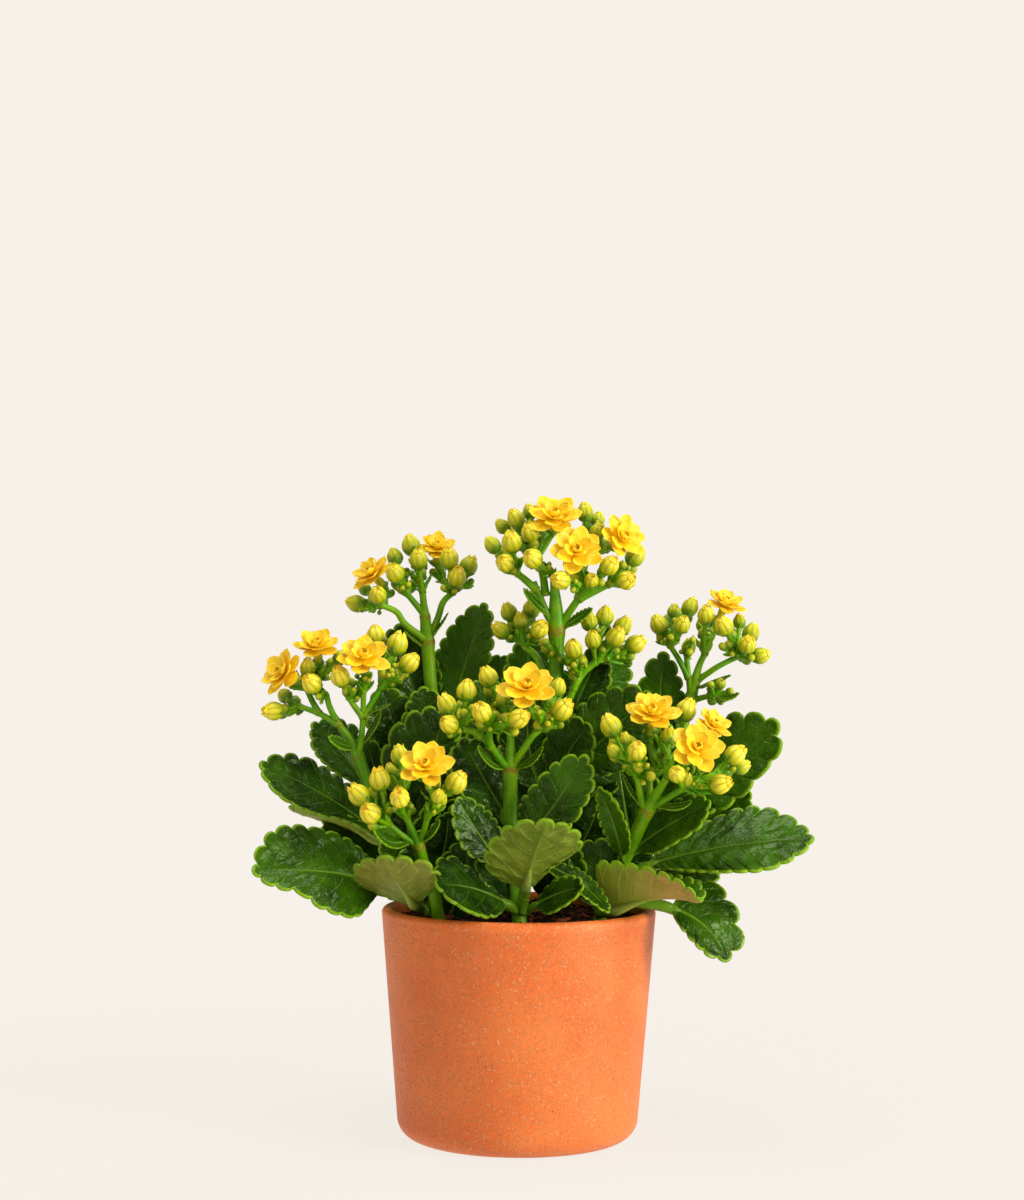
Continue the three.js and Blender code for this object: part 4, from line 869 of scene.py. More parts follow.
def add_sprays(surface, joint, goals, rng, nodes):
    """Stalks from a joint to the buds and flowers that it carries, which meet two by two on the way."""
    tops = [(goal, BUD_STALK) for goal in goals]
    nodes.append((joint, unit(goals.mean(axis=0) - joint), SPRAY_STALK))
    while len(tops) > 1:
        pairs = [(i, j) for i in range(len(tops)) for j in range(i)]
        one, two = min(pairs, key=lambda pair: np.linalg.norm(tops[pair[0]][0] - tops[pair[1]][0]))
        (first, girth), (second, other) = tops.pop(one), tops.pop(two)
        middle = 0.5 * (first + second)
        down = joint - middle
        reach = np.linalg.norm(down)
        drop = max(FORK_DROP, 0.55 * np.linalg.norm(first - second)) * rng.uniform(0.9, 1.25)
        if drop > 0.75 * reach:
            add_stalk(surface, joint, first, girth, rng)
            add_stalk(surface, joint, second, other, rng)
            continue
        fork = middle + down * (drop / reach)
        add_stalk(surface, fork, first, girth, rng)
        add_stalk(surface, fork, second, other, rng)
        nodes.append((fork, -down / reach, max(girth, other)))
        tops.append((fork, min(SPRAY_STALK, (girth**2 + other**2)**0.5)))
    for top, girth in tops:
        add_stalk(surface, joint, top, girth, rng)


def add_stalk(surface, start, end, radius, rng):
    """A slightly bowed stalk, a little thicker at both ends."""
    length = np.linalg.norm(end - start)
    bow = np.array((rng.uniform(-1, 1), rng.uniform(-1, 1), -1)) * 0.03 * length
    line = smooth_line([start, 0.5 * (start + end) + bow, end], 6)
    run = np.linspace(0, 1, len(line))
    girth = radius * (1 + 0.3 * bell(run, 0.12) + 0.35 * bell(1 - run, 0.15))
    joint = 0.8 * bell(run, 0.1) + 0.5 * bell(1 - run, 0.06)
    add_tube(surface, line, girth, 10, joint=joint, tone=rng.random())


def add_scale(surface, foot, heading, up, length, rng):
    """A small fleshy bract that leaves a joint and bends up to its tip."""
    run = np.linspace(0, 1, 8)
    heading = unit(heading)
    rise = length * (0.25 * run + 0.45 * run**2)
    line = foot + heading * (0.8 * length * run)[:, None] + up * rise[:, None]
    beside = unit(np.cross(heading, up))
    half = 0.25 * length * (run + 0.1)**0.5 * (1 - run)**0.4 * 2 + 0.03
    add_blade(surface, line, beside, np.cross(beside, heading), half, 0.35 * half + 0.08,
              joint=0.6 * bell(run, 0.1).mean(), tone=rng.random())


def add_joint_details(stalks, buds, nodes, rng):
    """Pairs of small bracts and unopened buds at the joints of a flower head."""
    for joint, up, radius in nodes:
        one, two = turned_to(up)
        outward = way_out(one, two, rng.uniform(0, math.pi))
        beside = np.cross(up, outward)
        for way, lift, length in ((outward, (0.1, 0.5), (3.2, 5.6)), (beside, (0.3, 0.8), (2.0, 3.6))):
            for side in (-1, 1):
                heading = unit(side * way + rng.uniform(*lift) * up)
                add_scale(stalks, joint, heading, up, rng.uniform(*length) * (0.35 + 0.65 * radius), rng)
        for side in (-1, 1):
            if rng.random() < 0.6:
                heading = unit(side * beside * rng.uniform(0.5, 1.1) + up * rng.uniform(0.5, 1.1))
                size = rng.uniform(0.7, 1.3)
                middle = joint + heading * rng.uniform(2.8, 5.0)
                add_stalk(stalks, joint, middle - heading * size * 0.8, 0.42, rng)
                add_bud(buds, middle, heading, size, rng)


BUD_TURNS = np.radians(np.linspace(-82, 64, 15))
CLOSED_BUD_TURNS = np.radians(np.linspace(-82, 90, 17))
BUD_SIDES = 48
BUD_FOLDS = 8
BUD_TIPS = 5
SMALL_BUD = 2.0


def add_bud(surface, middle, axis, radius, rng, ripeness=1.0):
    """A closed bud: upright folds, a crown of petal tips that just part, and a green calyx."""
    axis = unit(axis)
    one, two = turned_to(axis)
    turns = BUD_TURNS if radius > SMALL_BUD else CLOSED_BUD_TURNS
    turn = round_turns(BUD_SIDES)
    height = np.sin(turns)
    spin = rng.uniform(0, 6)
    folded = BUD_FOLDS * (turn[None] + 0.12 * height[:, None]) + spin
    seam = (0.5 + 0.5 * np.cos(folded))**7
    body = np.cos(turns) * (1 - 0.07 * height)
    across = radius * body[:, None] * (1.02 - 0.1 * seam * ease(-0.95, -0.2, height)[:, None])
    rise = radius * 1.1 * height
    ripe = ripeness * min(1, max(0, (radius - 1.6) / 1.8)) * rng.uniform(0.65, 1)
    grid = rings(middle + axis * rise[:, None, None], one, two, across, across, turn)
    crown = np.zeros(len(turns))
    if radius > SMALL_BUD:
        mouth = middle + axis * radius * 0.9 + 0.28 * (grid[-1] - middle - axis * rise[-1])
        bottom = np.repeat((middle + axis * radius * 0.86)[None], BUD_SIDES, axis=0)
        grid = np.concatenate([grid, [mouth], [bottom]])
        height = np.append(height, [0.9, 0.9])
        crown = np.append(crown, [0.8, 1])
        seam = np.concatenate([seam, seam[-1:], seam[-1:]])
    surface.loft(grid, rise=height[:, None], seam=seam, ripe=ripe, crown=crown[:, None])
    if radius > SMALL_BUD:
        add_crown(surface, middle, axis, one, two, radius, ripe, rng)
    add_calyx(surface, middle - axis * radius * 1.1, axis, one, two, radius, rng)


def add_crown(surface, middle, axis, one, two, radius, ripe, rng):
    """The pointed petal tips round the mouth of a bud."""
    run = np.linspace(0, 1, 7)
    crown = ease(0.35, 1, np.concatenate([[0], run, [1]]))[:, None]
    start = rng.uniform(0, 6)
    part = rng.uniform(0.06, 0.32)
    for outward in spokes(one, two, start, BUD_TIPS, 0.12, rng):
        out = radius * (0.52 - (0.36 - part) * run**1.2)
        rise = radius * (0.88 + (0.4 + rng.uniform(-0.05, 0.07)) * run**0.9)
        line = middle + axis * rise[:, None] + outward * out[:, None]
        half = radius * (0.36 * (1 - run)**0.75 + 0.02)
        add_blade(surface, line, np.cross(axis, outward), outward, half, radius * 0.07 * (1.2 - run),
                  rise=1.0, ripe=ripe, crown=crown)


def add_calyx(surface, foot, axis, one, two, radius, rng):
    """A green cup at the foot of a bud or flower, and its short pointed sepals."""
    cup_height = np.array([-0.12, -0.12, 0, .14, .26, .26]) * radius
    cup_width = np.array([0, .3, .42, .58, .66, 0]) * radius
    wide = cup_width[:, None]
    grid = rings(foot + axis * cup_height[:, None, None], one, two, wide, wide, round_turns(14))
    surface.loft(grid, rise=-1.0, ripe=0.2, calyx=1.0)
    start = rng.uniform(0, 6)
    run = np.linspace(0, 1, 7)
    for outward in spokes(one, two, start, SEPALS, 0.15, rng):
        out = radius * (0.44 + 0.56 * run**0.8 + rng.uniform(0, 0.12) * run**2)
        line = foot + axis * (radius * (0.02 + 0.6 * run))[:, None] + outward * out[:, None]
        half = radius * (0.28 * (1 - run)**0.6 + 0.015)
        add_blade(surface, line, np.cross(axis, outward), outward, half, radius * 0.09 * (1.15 - run),
                  rise=-0.8, ripe=0.3, calyx=1.0)


# ---- open flowers ----------------------------------------------------------------------------

PETAL_VALUES = ("run", "wide", "inner", "green")


@dataclass
class Whorl:
    """Petals round the flower: how many, their length and width, and how far out and up they start,
    in flower radii; the degrees that they rise by and curve up by towards the tip; how much they cup,
    and how far in they count as for their colour."""
    petals: int
    length: float
    width: float
    out: float
    up: float
    rise: float
    curve: float
    cup: float
    inner: float


WHORLS = [
    Whorl(5, 0.94, 0.67, 0.10, -0.02, 6, 4, 0.16, 0.0),
    Whorl(5, 0.86, 0.61, 0.09, 0.05, 19, 6, 0.2, 0.1),
    Whorl(4, 0.64, 0.48, 0.08, 0.10, 37, 12, 0.28, 0.3),
    Whorl(5, 0.33, 0.27, 0.06, 0.12, 62, 18, 0.4, 0.7),
]
PETAL_RUN = np.array([0, .08, .18, .29, .4, .51, .61, .7, .78, .85, .91, .955, .985, 1])
PETAL_LOOP = 18
STAMENS = 6
STAMEN_TURN = 2.4


def add_petal(surface, foot, out, side, axis, whorl, radius, rng):
    """One petal: a thin broad blade with a small point, gently cupped along its middle."""
    length = whorl.length * radius * rng.uniform(0.94, 1.04)
    half_width = 0.5 * whorl.width * radius * rng.uniform(0.93, 1.06)
    run = PETAL_RUN
    rise = np.radians(whorl.rise + rng.uniform(-5, 5) + (whorl.curve + rng.uniform(-6, 8)) * run)
    step = np.diff(run)[:, None] * length
    forward = np.cos(rise)[:, None] * out + np.sin(rise)[:, None] * axis
    upward = np.cos(rise)[:, None] * axis - np.sin(rise)[:, None] * out
    line = foot + np.concatenate([np.zeros((1, 3)), np.cumsum(forward[:-1] * step, axis=0)])
    shape = (run + 0.04)**0.85 * np.clip(1 - run, 0, 1)**0.72 * (1 - 0.35 * bell(1 - run, 0.06))
    half = half_width * shape / shape.max() + 0.02
    turn = round_turns(PETAL_LOOP)
    lean = np.abs(np.cos(turn))[None]
    thick = 0.2 * (1 - 0.6 * lean**4) * np.sin(turn)[None]
    sway = 0.022 * radius * np.sin(4 * run + rng.uniform(0, 6))[:, None] * np.cos(turn)[None]
    fold = -0.12 * bell(np.cos(turn), 0.3)[None] * ease(0.05, 0.3, run)[:, None]
    lift = whorl.cup * half[:, None] * lean**1.8 + sway * run[:, None] + fold + thick
    lift = lift + 0.05 * radius * ease(0.75, 1, run)[:, None]
    sideways = side * (np.cos(turn) * half[:, None])[..., None]
    grid = line[:, None] + sideways + upward[:, None] * lift[..., None]
    surface.loft(grid, run=run[:, None], wide=lean, inner=whorl.inner)


def add_flower(surface, flower, rng):
    """A double flower: overlapping whorls of petals round a few stamens, on a tube in a calyx."""
    axis = unit(flower.faces)
    one, two = turned_to(axis)
    face = np.array(flower.at, float) - axis * 0.08 * flower.radius
    spin = rng.uniform(0, 6)
    for whorl in WHORLS:
        spin += math.pi / whorl.petals + rng.uniform(-0.1, 0.1)
        for out in spokes(one, two, spin, whorl.petals, 0.09, rng):
            foot = face + (out * whorl.out + axis * whorl.up) * flower.radius
            add_petal(surface, foot, out, np.cross(axis, out), axis, whorl, flower.radius, rng)
    for i in range(STAMENS):
        out = way_out(one, two, i * STAMEN_TURN)
        start = face + axis * 0.1 * flower.radius + out * 0.25
        end = face + axis * (0.24 + 0.03 * (i % 3)) * flower.radius + out * 0.07 * flower.radius
        girth = np.array([0.13, 0.12, 0.12, 0.16, 0.3, 0.22])
        add_tube(surface, np.linspace(start, end, 6), girth, 8, run=0.4, inner=1.0)
    run = np.linspace(0, 1, 9)
    tube = face + axis * ((run - 1) * (FLOWER_TUBE - 0.5))[:, None] + axis * 0.08 * flower.radius
    girth = 0.16 * flower.radius * (0.75 + 0.35 * np.sin(math.pi * run)) + 0.5 * run**4
    add_tube(surface, tube, girth, 14, run=0.6 * run, green=0.9 - 0.8 * run)


# ---- pot and soil ----------------------------------------------------------------------------

POT_SIDES = 256
SOIL_SIDES = 180


def arc(x, z, radius, start, end, steps):
    turns = np.radians(np.linspace(start, end, steps + 1))
    return np.stack([x + radius * np.cos(turns), z + radius * np.sin(turns)], axis=1)


def straight(start, end, steps):
    share = np.linspace(0, 1, steps + 1)[1:-1, None]
    return np.array(start) + (np.array(end) - np.array(start)) * share


def pot_profile():
    """The wall from the middle of the underside, up the outside, over the lip and down inside."""
    lip = POT_WALL / 2
    foot = arc(POT_BASE_RADIUS - POT_FOOT_ROUND, POT_FOOT_ROUND, POT_FOOT_ROUND, -90, 0, 12)
    rim = arc(POT_RIM_RADIUS - lip, POT_HEIGHT - lip, lip, 0, 180, 12)
    inside = (POT_BASE_RADIUS - POT_WALL, POT_FLOOR + POT_WALL)
    floor = (POT_BASE_RADIUS - 2 * POT_WALL, POT_FLOOR)
    return np.concatenate([
        [(0, 0)], straight((0, 0), foot[0], 12), foot, straight(foot[-1], rim[0], 30), rim,
        straight(rim[-1], inside, 10), [inside], straight(inside, floor, 3), [floor],
        straight(floor, (0, POT_FLOOR), 10), [(0, POT_FLOOR)],
    ])


def make_pot(material):
    """The turned clay pot, with its drain holes cut out and the cuts' edges left sharp."""
    surface = Surface("height")
    profile = pot_profile()
    turn = round_turns(POT_SIDES)
    ring = profile[:, 0][:, None]
    height = np.broadcast_to(profile[:, 1][:, None], (len(profile), POT_SIDES))
    grid = np.stack([ring * np.cos(turn), ring * np.sin(turn), height], axis=-1)
    surface.loft(grid, height=height)
    pot = surface.piece("clay_pot", material, ["pot"])
    cutters = []
    for i in range(DRAIN_HOLES):
        angle = (i + 0.5) / DRAIN_HOLES * 2 * math.pi
        spot = (DRAIN_CIRCLE * math.cos(angle) * MM, DRAIN_CIRCLE * math.sin(angle) * MM, 0)
        bpy.ops.mesh.primitive_cylinder_add(
            vertices=48, radius=DRAIN_RADIUS * MM, depth=4 * POT_FLOOR * MM, location=spot)
        cutters.append(bpy.context.object)
    for cutter in cutters:
        cut = pot.modifiers.new("drain", "BOOLEAN")
        cut.operation = "DIFFERENCE"
        cut.solver = "EXACT"
        cut.object = cutter
    shape = bpy.data.meshes.new_from_object(pot.evaluated_get(bpy.context.evaluated_depsgraph_get()))
    pot.modifiers.clear()
    pot.data = shape
    for cutter in cutters:
        bpy.data.objects.remove(cutter)
    for face in pot.data.polygons:
        face.use_smooth = True
    pot.data.set_sharp_from_angle(angle=math.radians(40))


def inner_radius(height):
    """How wide the pot is inside at this height."""
    low = POT_FLOOR + POT_WALL
    rise = (height - low) / (POT_HEIGHT - POT_WALL / 2 - low)
    return POT_BASE_RADIUS + (POT_RIM_RADIUS - POT_BASE_RADIUS) * rise - POT_WALL


def soil_height(x, y):
    """The lumpy top of the soil."""
    edge = POT_HEIGHT - SOIL_BELOW_LIP
    out = np.hypot(x, y) / inner_radius(edge)
    lumps = (np.sin(x * 0.9 + 2 * np.sin(y * 0.37)) * np.cos(y * 0.8 + 1.5 * np.sin(x * 0.41))
             + 0.6 * np.sin(x * 2.3 + y * 0.9) * np.sin(y * 2.1 - x * 0.7)
             + 0.35 * np.sin(x * 4.7 - y * 3.1) * np.cos(y * 5.3 + x * 1.9))
    return edge + SOIL_MOUND * (1 - out**2) + 0.7 * lumps


def make_soil(material, bark):
    """Soil that fills the pot, and loose bits of bark and peat on top."""
    surface = Surface("bit")
    low = POT_FLOOR + POT_WALL
    edge = POT_HEIGHT - SOIL_BELOW_LIP
    outline = [(0, POT_FLOOR + SOIL_GAP), (inner_radius(low) - POT_WALL, POT_FLOOR + SOIL_GAP),
               (inner_radius(low) - SOIL_GAP, low + SOIL_GAP)]
    outline += [(inner_radius(h) - SOIL_GAP, h) for h in np.linspace(low + 5, edge - 1, 8)]
    outline += [(r, edge) for r in np.linspace(inner_radius(edge) - SOIL_GAP, 0, 60)]
    outline = np.array(outline)
    turn = round_turns(SOIL_SIDES)
    x = outline[:, 0][:, None] * np.cos(turn)
    y = outline[:, 0][:, None] * np.sin(turn)
    top = (outline[:, 1] == edge)[:, None]
    z = np.where(top, soil_height(x, y), outline[:, 1][:, None])
    surface.loft(np.stack([x, y, z], axis=-1))
    surface.piece("potting_soil", material, ["soil"])

    rng = random.Random(BARK_SEED)
    bits = Surface("bit")
    for _ in range(BARK_BITS):
        out = math.sqrt(rng.random()) * (inner_radius(edge) - 1.5)
        angle = rng.uniform(0, 2 * math.pi)
        x, y = out * math.cos(angle), out * math.sin(angle)
        size = rng.choice((0.5, 0.7, 0.9, 1.4)) * rng.uniform(0.7, 1.3)
        add_chip(bits, np.array((x, y, soil_height(x, y) + 0.2 * size)), size, rng)
    bits.piece("bark_bits", bark)


def add_chip(surface, place, size, rng):
    """A small angular chip."""
    heading = unit((rng.gauss(0, 1), rng.gauss(0, 1), rng.gauss(0, 0.35)))
    one, two = turned_to(heading)
    long = size * rng.uniform(1, 2.2)
    rows = np.array([-1, -0.9, -0.3, 0.4, 0.92, 1]) * long
    widths = np.array([0, 0.7, 1, 0.9, 0.6, 0]) * size
    turn = round_turns(6)
    rough = np.array([[rng.uniform(0.65, 1.2) for _ in turn] for _ in rows])
    wide = widths[:, None] * rough
    deep = wide * rng.uniform(0.4, 0.8)
    grid = rings(place + heading * rows[:, None, None], one, two, wide, deep, turn)
    surface.loft(grid, bit=rng.random())


# ---- materials -------------------------------------------------------------------------------

def rgb(red, green, blue):
    """A linear colour from its sRGB numbers, 0 to 255."""
    shares = [value / 255 for value in (red, green, blue)]
    return tuple(s / 12.92 if s < 0.04045 else ((s + 0.055) / 1.055)**2.4 for s in shares) + (1.0,)


class Shade:
    """A material's node tree, with short calls for the nodes that the materials share."""

    def __init__(self, name, **sockets):
        self.material = bpy.data.materials.new(name)
        self.material.use_nodes = True
        self.tree = self.material.node_tree
        self.shader = self.tree.nodes["Principled BSDF"]
        for key, value in sockets.items():
            self.shader.inputs[key.replace("_", " ")].default_value = value
        self.place = self.tree.nodes.new("ShaderNodeTexCoord").outputs["Object"]

    def feed(self, socket, value):
        if isinstance(value, bpy.types.NodeSocket):
            self.tree.links.new(value, socket)
        else:
            socket.default_value = value

    def value(self, name):
        """One of the mesh's per-point values."""
        node = self.tree.nodes.new("ShaderNodeAttribute")
        node.attribute_name = name
        return node.outputs["Fac"]

    def math(self, operation, one, two=0.0):
        node = self.tree.nodes.new("ShaderNodeMath")
        node.operation = operation
        self.feed(node.inputs[0], one)
        self.feed(node.inputs[1], two)
        return node.outputs[0]

    def times(self, *factors):
        total = factors[0]
        for factor in factors[1:]:
            total = self.math("MULTIPLY", total, factor)
        return total

    def plus(self, *terms):
        total = terms[0]
        for term in terms[1:]:
            total = self.math("ADD", total, term)
        return total

    def band(self, value, start, end, low=0.0, high=1.0):
        """low at start, high at end, smooth between and level beyond."""
        node = self.tree.nodes.new("ShaderNodeMapRange")
        node.interpolation_type = "SMOOTHSTEP"
        for socket, given in zip(node.inputs, (value, start, end, low, high)):
            self.feed(socket, given)
        return node.outputs[0]

    def mix(self, share, one, two):
        """Colour one at share 0, and colour two at share 1."""
        node = self.tree.nodes.new("ShaderNodeMix")
        node.data_type = "RGBA"
        self.feed(node.inputs[0], share)
        self.feed(node.inputs[6], one)
        self.feed(node.inputs[7], two)
        return node.outputs[2]

    def over(self, under, colour, *factors):
        """This colour over another, in the share that the factors multiply to."""
        return self.mix(self.times(*factors), under, colour)

    def noise(self, size, detail=3.0, roughness=0.55, distortion=0.0):
        """Noise with lumps of about this size, in millimetres."""
        node = self.tree.nodes.new("ShaderNodeTexNoise")
        self.feed(node.inputs["Vector"], self.place)
        node.inputs["Scale"].default_value = 1 / (size * MM)
        node.inputs["Detail"].default_value = detail
        node.inputs["Roughness"].default_value = roughness
        node.inputs["Distortion"].default_value = distortion
        return node.outputs["Fac"]

    def cells(self, size, feature="F1"):
        """Distance to the nearest of scattered points, this far apart, in millimetres."""
        node = self.tree.nodes.new("ShaderNodeTexVoronoi")
        node.feature = feature
        self.feed(node.inputs["Vector"], self.place)
        node.inputs["Scale"].default_value = 1 / (size * MM)
        return node.outputs["Distance"]

    def dots(self, apart, edge, patch, share):
        """Dots about this far apart, in patches of about this size. Edge is where a dot ends and
        begins, and share is where a patch does in its noise."""
        return self.times(self.band(self.cells(apart), *edge), self.band(self.noise(patch, 1), *share))

    def strokes(self, size, edge, patch, share):
        """Short curly lines where a noise of this size is near its middle, in patches as above."""
        off = self.math("ABSOLUTE", self.math("SUBTRACT", self.noise(size, 1, 0.5, 1.2), 0.5))
        return self.times(self.band(off, *edge), self.band(self.noise(patch, 1), *share))

    def bump(self, height, depth):
        """Raises the surface by height times this depth, in millimetres."""
        node = self.tree.nodes.new("ShaderNodeBump")
        node.inputs["Strength"].default_value = 1.0
        node.inputs["Distance"].default_value = depth * MM
        self.feed(node.inputs["Height"], height)
        self.feed(self.shader.inputs["Normal"], node.outputs["Normal"])

    def done(self, colour, roughness=None):
        """The material, with its colour, and its roughness where it isn't set on the socket."""
        self.feed(self.shader.inputs["Base Color"], colour)
        if roughness is not None:
            self.feed(self.shader.inputs["Roughness"], roughness)
        return self.material


def leaf_material():
    """Glossy deep green above, olive or tan beneath, with a net of fine veins and a lime rim: partly the
    leaf's own paler margin, partly painted highlight.
    """
    shade = Shade("kalanchoe_leaf", Specular_IOR_Level=0.3, Specular_Tint=(0.8, 1.0, 0.5, 1.0))
    rim, under, across, beat, up, stalk, tone, tan = (shade.value(name) for name in LEAF_VALUES)
    # Tone lightens or darkens the whole leaf: its own green, and painted light and shade as well.
    blotch = shade.plus(shade.noise(12, 3), shade.times(tone, 0.6))
    top = shade.mix(shade.band(blotch, 0.45, 1.05), rgb(14, 38, 1), rgb(56, 100, 3))
    below = shade.mix(shade.band(blotch, 0.45, 1.0), rgb(98, 120, 24), rgb(126, 140, 36))
    tan = shade.times(tan, shade.band(up, 0.15, 0.75))
    below = shade.mix(tan, below, shade.mix(shade.noise(6, 3), rgb(138, 124, 34), rgb(190, 160, 92)))
    off_vein = shade.math("SUBTRACT", shade.math("FRACT", beat), 0.5)
    wander = shade.times(shade.math("SUBTRACT", shade.noise(4, 2), 0.5), 0.16)
    off_vein = shade.math("ABSOLUTE", shade.plus(off_vein, wander))
    side_vein = shade.times(shade.band(off_vein, 0.07, 0.015), shade.band(across, 0.8, 2.5))
    rib_width = shade.band(up, 0.0, 0.95, 1.0, 0.22)
    off_rib = shade.math("DIVIDE", across, rib_width)
    middle = shade.times(shade.band(off_rib, 0.8, 0.4), shade.band(up, 0.95, 0.75))
    net = shade.band(shade.cells(3.4, "DISTANCE_TO_EDGE"), 0.07, 0.0)
    net = shade.times(net, shade.band(shade.noise(5, 1), 0.4, 0.6), shade.band(across, 0.8, 2.0))
    crease = shade.strokes(2.3, (0.07, 0.02), 7, (0.4, 0.6))
    speck = shade.dots(1.5, (0.15, 0.06), 9, (0.46, 0.6))
    lines = shade.plus(shade.times(side_vein, 0.16), shade.times(net, 0.07), shade.times(middle, 0.65))
    top = shade.mix(lines, top, rgb(112, 150, 36))
    top = shade.over(top, rgb(170, 196, 130), speck, 0.55)
    lines = shade.plus(shade.times(side_vein, 0.5), shade.times(net, 0.3), shade.times(middle, 0.6))
    below = shade.mix(lines, below, shade.mix(tan, rgb(160, 168, 80), rgb(188, 156, 98)))
    colour = shade.mix(under, top, below)
    # Lime rim: partly the leaf's own paler margin, partly a painted highlight, stronger on lighter
    # leaves.
    colour = shade.over(colour, rgb(128, 168, 22), rim, shade.band(tone, 0.0, 0.6, 0.68, 0.95))
    colour = shade.over(colour, rgb(98, 144, 22), stalk, 0.85)
    relief = shade.plus(shade.times(side_vein, 0.6), shade.times(net, 0.5), shade.times(middle, 0.5))
    relief = shade.times(relief, shade.band(under, 0.3, 0.7, -0.7, 0.7))
    height = shade.plus(shade.times(crease, 0.5), shade.times(shade.noise(2.6, 1), 1.1), relief,
                        shade.times(speck, 0.5))
    shade.bump(height, 0.3)
    gloss = shade.plus(shade.band(under, 0.2, 0.8, 0.15, 0.5), shade.times(shade.noise(1.8, 2), 0.16))
    return shade.done(colour, gloss)


def stem_material():
    """Smooth bright green, with brown marks where branches part and faint pale dots."""
    shade = Shade("green_stem", Specular_IOR_Level=0.35, Specular_Tint=(0.9, 1.0, 0.6, 1.0),
                  Subsurface_Weight=0.12, Subsurface_Scale=FLESH_DEPTH * MM)
    joint, tone = shade.value("joint"), shade.value("tone")
    patches = shade.plus(shade.noise(6, 3), shade.times(tone, 0.3))
    colour = shade.mix(shade.band(patches, 0.4, 0.9), rgb(83, 148, 0), rgb(126, 176, 8))
    scar = shade.times(shade.band(joint, 0.4, 0.9), shade.band(shade.noise(1.2, 3), 0.4, 0.56))
    colour = shade.over(colour, rgb(146, 92, 26), scar, 0.8)
    dots = shade.band(shade.cells(1.4), 0.16, 0.06)
    colour = shade.over(colour, rgb(168, 196, 80), dots, 0.3)
    shade.bump(shade.plus(shade.noise(1.0, 3), shade.times(dots, 0.5)), 0.12)
    return shade.done(colour, shade.plus(0.28, shade.times(shade.noise(2, 2), 0.16)))


def bud_material():
    """Darker green at the foot, partly the bud's own green and partly painted shade under it; lemon
    above with greener folds, and orange-brown edges to the petal tips.
    """
    shade = Shade("closed_bud", Specular_IOR_Level=0.35, Subsurface_Weight=0.15,
                  Subsurface_Scale=FLESH_DEPTH * MM)
    rise, seam, ripe, calyx, crown = (shade.value(name) for name in BUD_VALUES)
    mottle = shade.noise(2.2, 3)
    patches = shade.times(shade.math("SUBTRACT", mottle, 0.5), 0.25)
    level = shade.plus(rise, patches, shade.times(ripe, 1.6), -0.55)
    # Darker green towards the foot: partly the bud's own colour, partly painted shade on its underside.
    colour = shade.mix(shade.band(level, -0.8, 0.4), rgb(104, 142, 6), rgb(190, 191, 12))
    colour = shade.mix(shade.band(level, 0.3, 1.3), colour, rgb(240, 222, 54))
    colour = shade.over(colour, rgb(252, 212, 36), shade.band(level, 1.4, 2.0), 0.7)
    colour = shade.over(colour, rgb(146, 158, 8), seam, shade.band(rise, -0.9, -0.2), 0.78)
    colour = shade.over(colour, rgb(218, 154, 32), crown, shade.band(ripe, 0.2, 0.5), 0.36)
    green = shade.mix(mottle, rgb(78, 130, 10), rgb(122, 166, 30))
    colour = shade.mix(calyx, colour, green)
    shade.bump(shade.plus(shade.noise(0.8, 2), shade.times(shade.noise(1.8, 2), 0.6)), 0.06)
    return shade.done(colour, shade.plus(0.34, shade.times(mottle, 0.14)))


def petal_material():
    """Clear yellow with faint lengthways veins; deeper towards the foot and in the inner whorls, partly
    as painted shade, and lighter at the edges as a painted highlight.
    """
    shade = Shade("yellow_petal", Specular_IOR_Level=0.3, Subsurface_Weight=0.14,
                  Subsurface_Scale=FLESH_DEPTH * MM)
    run, wide, inner, green = (shade.value(name) for name in PETAL_VALUES)
    mottle = shade.noise(5, 2)
    colour = shade.mix(shade.band(shade.plus(run, shade.times(mottle, 0.2)), 0.25, 0.9),
                       rgb(253, 209, 12), rgb(254, 216, 40))
    # Deeper yellow at the foot and on the inner whorls: partly the flower's own deeper heart, partly
    # painted shade.
    colour = shade.over(colour, rgb(248, 190, 8), shade.band(run, 0.28, 0.0), 0.4)
    colour = shade.over(colour, rgb(252, 202, 18), inner, 0.3)
    # Lighter petal edges: painted highlight.
    edge = shade.times(shade.band(wide, 0.88, 1.0), shade.band(run, 0.3, 0.6), 0.4)
    colour = shade.mix(edge, colour, rgb(255, 238, 124))
    colour = shade.mix(green, colour, rgb(170, 184, 40))
    ribs = shade.math("SINE", shade.times(wide, 24))
    shade.bump(shade.times(ribs, 0.5), 0.03)
    return shade.done(colour, shade.plus(0.4, shade.times(mottle, 0.14)))


def clay_material():
    """Satin orange clay: fine raised strokes, faint clouds, and a few pits and pale specks."""
    shade = Shade("orange_clay", Specular_IOR_Level=0.42)
    height = shade.value("height")
    cloud = shade.band(shade.noise(28, 3, 0.5), 0.3, 0.7)
    colour = shade.mix(cloud, rgb(226, 104, 32), rgb(238, 122, 48))
    grain = shade.noise(1.6, 3, 0.6)
    colour = shade.over(colour, rgb(242, 150, 90), shade.band(grain, 0.45, 0.7), 0.14)
    stroke = shade.strokes(1.5, (0.07, 0.025), 1.0, (0.46, 0.52))
    colour = shade.over(colour, rgb(255, 182, 118), stroke, 0.42)
    speck = shade.dots(3.2, (0.1, 0.04), 8, (0.5, 0.6))
    colour = shade.over(colour, rgb(255, 206, 160), speck, 0.45)
    pit = shade.dots(4.6, (0.09, 0.04), 10, (0.52, 0.6))
    colour = shade.over(colour, rgb(150, 66, 28), pit, 0.4)
    on_wall = shade.band(height, POT_HEIGHT - 4.5, POT_HEIGHT - 2.5, 1.0, 0.2)
    relief = shade.plus(shade.times(grain, 0.6), shade.times(stroke, 1.4), shade.times(speck, 0.6),
                        shade.times(pit, -1.2))
    shade.bump(shade.times(relief, on_wall), 0.2)
    return shade.done(colour, shade.plus(0.4, shade.times(grain, 0.2)))


